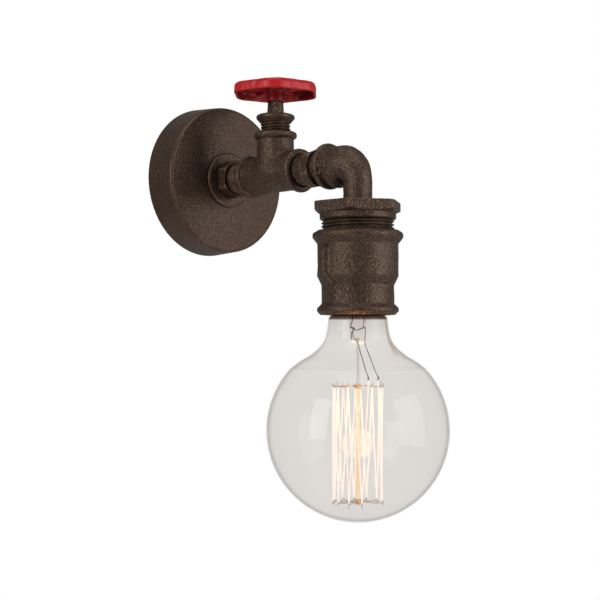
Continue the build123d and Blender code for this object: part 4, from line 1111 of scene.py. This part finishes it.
# lead wires with crimps, and what is sealed in the foot
parts = []
for tip, seat in ((start, (5.0, 4.9, 4.7, 5.1)), (end, (-3.0, -3.4, -0.9, 0.3))):
    knots = [at(seat[0], -1.6, -112.0), at(seat[1], -2.0, -118.0), at(seat[2], -2.4, -121.6), at(seat[3], -2.2, -124.6)]
    knots += [knots[-1] * (1 - q) + tip * q for q in (0.25, 0.5, 0.75)]
    knots.append(tip + np.array([0, 0, 1.3]))
    parts.append(tube(curve_points(knots, 6), 0.3, 8))
    parts.append(tube(np.array([tip + np.array([0, 0, h]) for h in (1.9, 1.6, 0.6, -0.6, -0.9)]), [0.3, 0.55, 0.6, 0.55, 0.3], 8))
seal = [at(-3.4, -1.7, -99.0), at(-3.6, -2.2, -105.0), at(-4.2, -2.6, -109.0), at(-5.1, -2.6, -111.4), at(-3.9, -2.5, -112.6),
        at(-2.4, -2.5, -113.4), at(-3.6, -2.4, -114.6), at(-4.6, -2.4, -116.4), at(-4.3, -2.4, -118.6), at(-4.8, -2.4, -120.4)]
parts.append(tube(curve_points(seal, 6), 0.34, 8))
seal = [at(3.0, -1.5, -99.0), at(3.2, -2.0, -104.5), at(4.2, -2.7, -107.5), at(3.6, -2.6, -109.5), at(4.0, -2.3, -113.0)]
parts.append(tube(curve_points(seal, 6), 0.3, 8))
seal = [at(-5.2, -2.5, -112.4), at(-3.6, -2.9, -113.0), at(-1.2, -2.9, -114.2), at(1.9, -2.8, -113.2), at(4.2, -2.6, -112.2)]
parts.append(tube(curve_points(seal, 6), 0.32, 8))
v, f = join(parts)
replace("lamp_lead_wires", "lamp_leads", v, f, LEAD, "lamp")

# ============================================================ carried-over CAD
CARRIED = {
    "wall_strap": ZINC, "cover_screws": STEEL, "lock_nut": ZINC, "earth_tag": BRASS,
    "terminal_block": STEATITE, "terminal_clamps": BRASS, "terminal_screws": STEEL, "block_screw": STEEL,
    "earth_screw": BRASS, "earth_screw_washer": BRASS, "spindle_clip": STEEL, "spindle_washer": BRASS,
    "wheel_washer": NIPPLE, "holder_disc": ZINC, "holder_stud": ZINC, "holder_nuts": ZINC,
    "holder_hood": PORCELAIN, "holder_body": PORCELAIN, "holder_tie_screws": STEEL,
    "holder_terminals": BRASS, "holder_terminal_screws": STEEL, "holder_rivets": BRASS,
    "holder_screw_shell": NICKEL, "holder_contact_leaf": BRASS, "live_wire": BROWN_WIRE,
    "neutral_wire": BLUE_WIRE, "earth_wire": EARTH, "lamp_cap": NICKEL, "lamp_cap_insulator": BLACKGLASS,
    "lamp_contact": STEEL, "wheel_nut": NIPPLE, "wall_cover": COVER, "entry_washer": COVER,
    "entry_nipple": NIPPLE, "tee": IRON, "bonnet": NIPPLE, "spindle": STEM, "handwheel": RED,
    "link_nipple": NIPPLE, "street_elbow": IRON, "reducing_bushing": IRON, "reducing_socket": IRON,
    "lamp_glass": GLASS, "lamp_glass_mount": PRESSED, "lamp_glass_rod": ROD, "lamp_leads": LEAD,
    "lamp_supports": LEAD, "lamp_filament": STRAND,
}
for node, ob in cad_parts.items():
    mat = CARRIED[node]
    me = ob.data
    if len(me.materials) == 0:
        me.materials.append(mat)
    for k in range(len(ob.material_slots)):
        ob.material_slots[k].link = "OBJECT"
        ob.material_slots[k].material = mat

# ======================================================================= stage
def stage_floor():
    me = bpy.data.meshes.new("floor")
    n, R = 96, 0.95
    v = [(0, -0.1, -0.62)] + [(R * math.cos(2 * math.pi * k / n), -0.1 + R * math.sin(2 * math.pi * k / n), -0.62) for k in range(n)]
    f = [(0, 1 + k, 1 + (k + 1) % n) for k in range(n)]
    me.from_pydata(v, [], f)
    ob = bpy.data.objects.new("floor", me)
    bpy.context.scene.collection.objects.link(ob)
    m, nt, out = new_mat("pale_floor")
    bs = nt.nodes.new("ShaderNodeBsdfPrincipled")
    nt.links.new(bs.outputs[0], out.inputs[0])
    a = noise_node(nt, place(nt), 14.0, 3.0, 0.5)
    nt.links.new(ramp(nt, a, [(0.3, (0.83, 0.83, 0.825)), (0.7, (0.86, 0.86, 0.855))]), bs.inputs["Base Color"])
    bs.inputs["Roughness"].default_value = 0.75
    me.materials.append(m)


stage_floor()

world = bpy.data.worlds.new("studio")
bpy.context.scene.world = world
world.use_nodes = True
wn = world.node_tree
wn.nodes.clear()
wo = wn.nodes.new("ShaderNodeOutputWorld")
bg_seen = wn.nodes.new("ShaderNodeBackground")
bg_seen.inputs["Color"].default_value = (1, 1, 1, 1)
bg_seen.inputs["Strength"].default_value = 1.0
bg_light = wn.nodes.new("ShaderNodeBackground")
bg_light.inputs["Color"].default_value = (0.97, 0.98, 1.0, 1)
bg_light.inputs["Strength"].default_value = 0.235
lp = wn.nodes.new("ShaderNodeLightPath")
wm = wn.nodes.new("ShaderNodeMixShader")
wn.links.new(lp.outputs["Is Camera Ray"], wm.inputs[0])
wn.links.new(bg_light.outputs[0], wm.inputs[1])
wn.links.new(bg_seen.outputs[0], wm.inputs[2])
wn.links.new(wm.outputs[0], wo.inputs[0])


def area(name, loc, target, size, power, color=(1, 1, 1)):
    L = bpy.data.lights.new(name, "AREA")
    L.shape = "RECTANGLE"
    L.size, L.size_y = size
    L.energy = power
    L.color = color
    ob = bpy.data.objects.new(name, L)
    ob.location = loc
    d = np.array(target) - np.array(loc)
    from mathutils import Vector
    ob.rotation_euler = Vector(d).to_track_quat("-Z", "Y").to_euler()
    bpy.context.scene.collection.objects.link(ob)


# view directions: right is to the right in the picture, away is into the picture
az = math.radians(VIEW)
right = np.array([math.cos(az), math.sin(az), 0.0])
away = np.array([-math.sin(az), math.cos(az), 0.0])
mid = np.array([0.0, -0.10, -0.08])
up = np.array([0, 0, 1.0])
area("left_box", mid - right * 0.86 - away * 0.74 + up * 0.22, mid, (0.46, 1.0), 8.6)
area("right_box", mid + right * 1.02 - away * 0.44 + up * 0.12, mid, (0.72, 1.0), 9.5)
area("top_box", mid + up * 1.15 - away * 0.35, mid, (1.0, 0.8), 6.0)


def warm(name, loc, power, size, mirrored):
    L = bpy.data.lights.new(name, "POINT")
    L.energy = power
    L.color = (1.0, 0.47, 0.16)
    L.shadow_soft_size = size
    ob = bpy.data.objects.new(name, L)
    ob.location = loc
    ob.visible_camera = False
    ob.visible_glossy = mirrored
    ob.visible_transmission = False
    bpy.context.scene.collection.objects.link(ob)


warm("filament_light", (0.0, -0.1608, -0.172), 0.22, 0.012, True)

# ====================================================================== camera
cam = bpy.data.cameras.new("camera")
cam.sensor_width = 36.0
cam.lens = 76.87
cam.shift_y = 0.0638
cam.clip_start = 0.05
cam.clip_end = 20.0
co = bpy.data.objects.new("camera", cam)
co.location = (-0.6351, -0.7623, -0.1197)
co.rotation_euler = (math.radians(90), 0, az)
bpy.context.scene.collection.objects.link(co)
bpy.context.scene.camera = co
bpy.context.scene.view_settings.view_transform = "Standard"
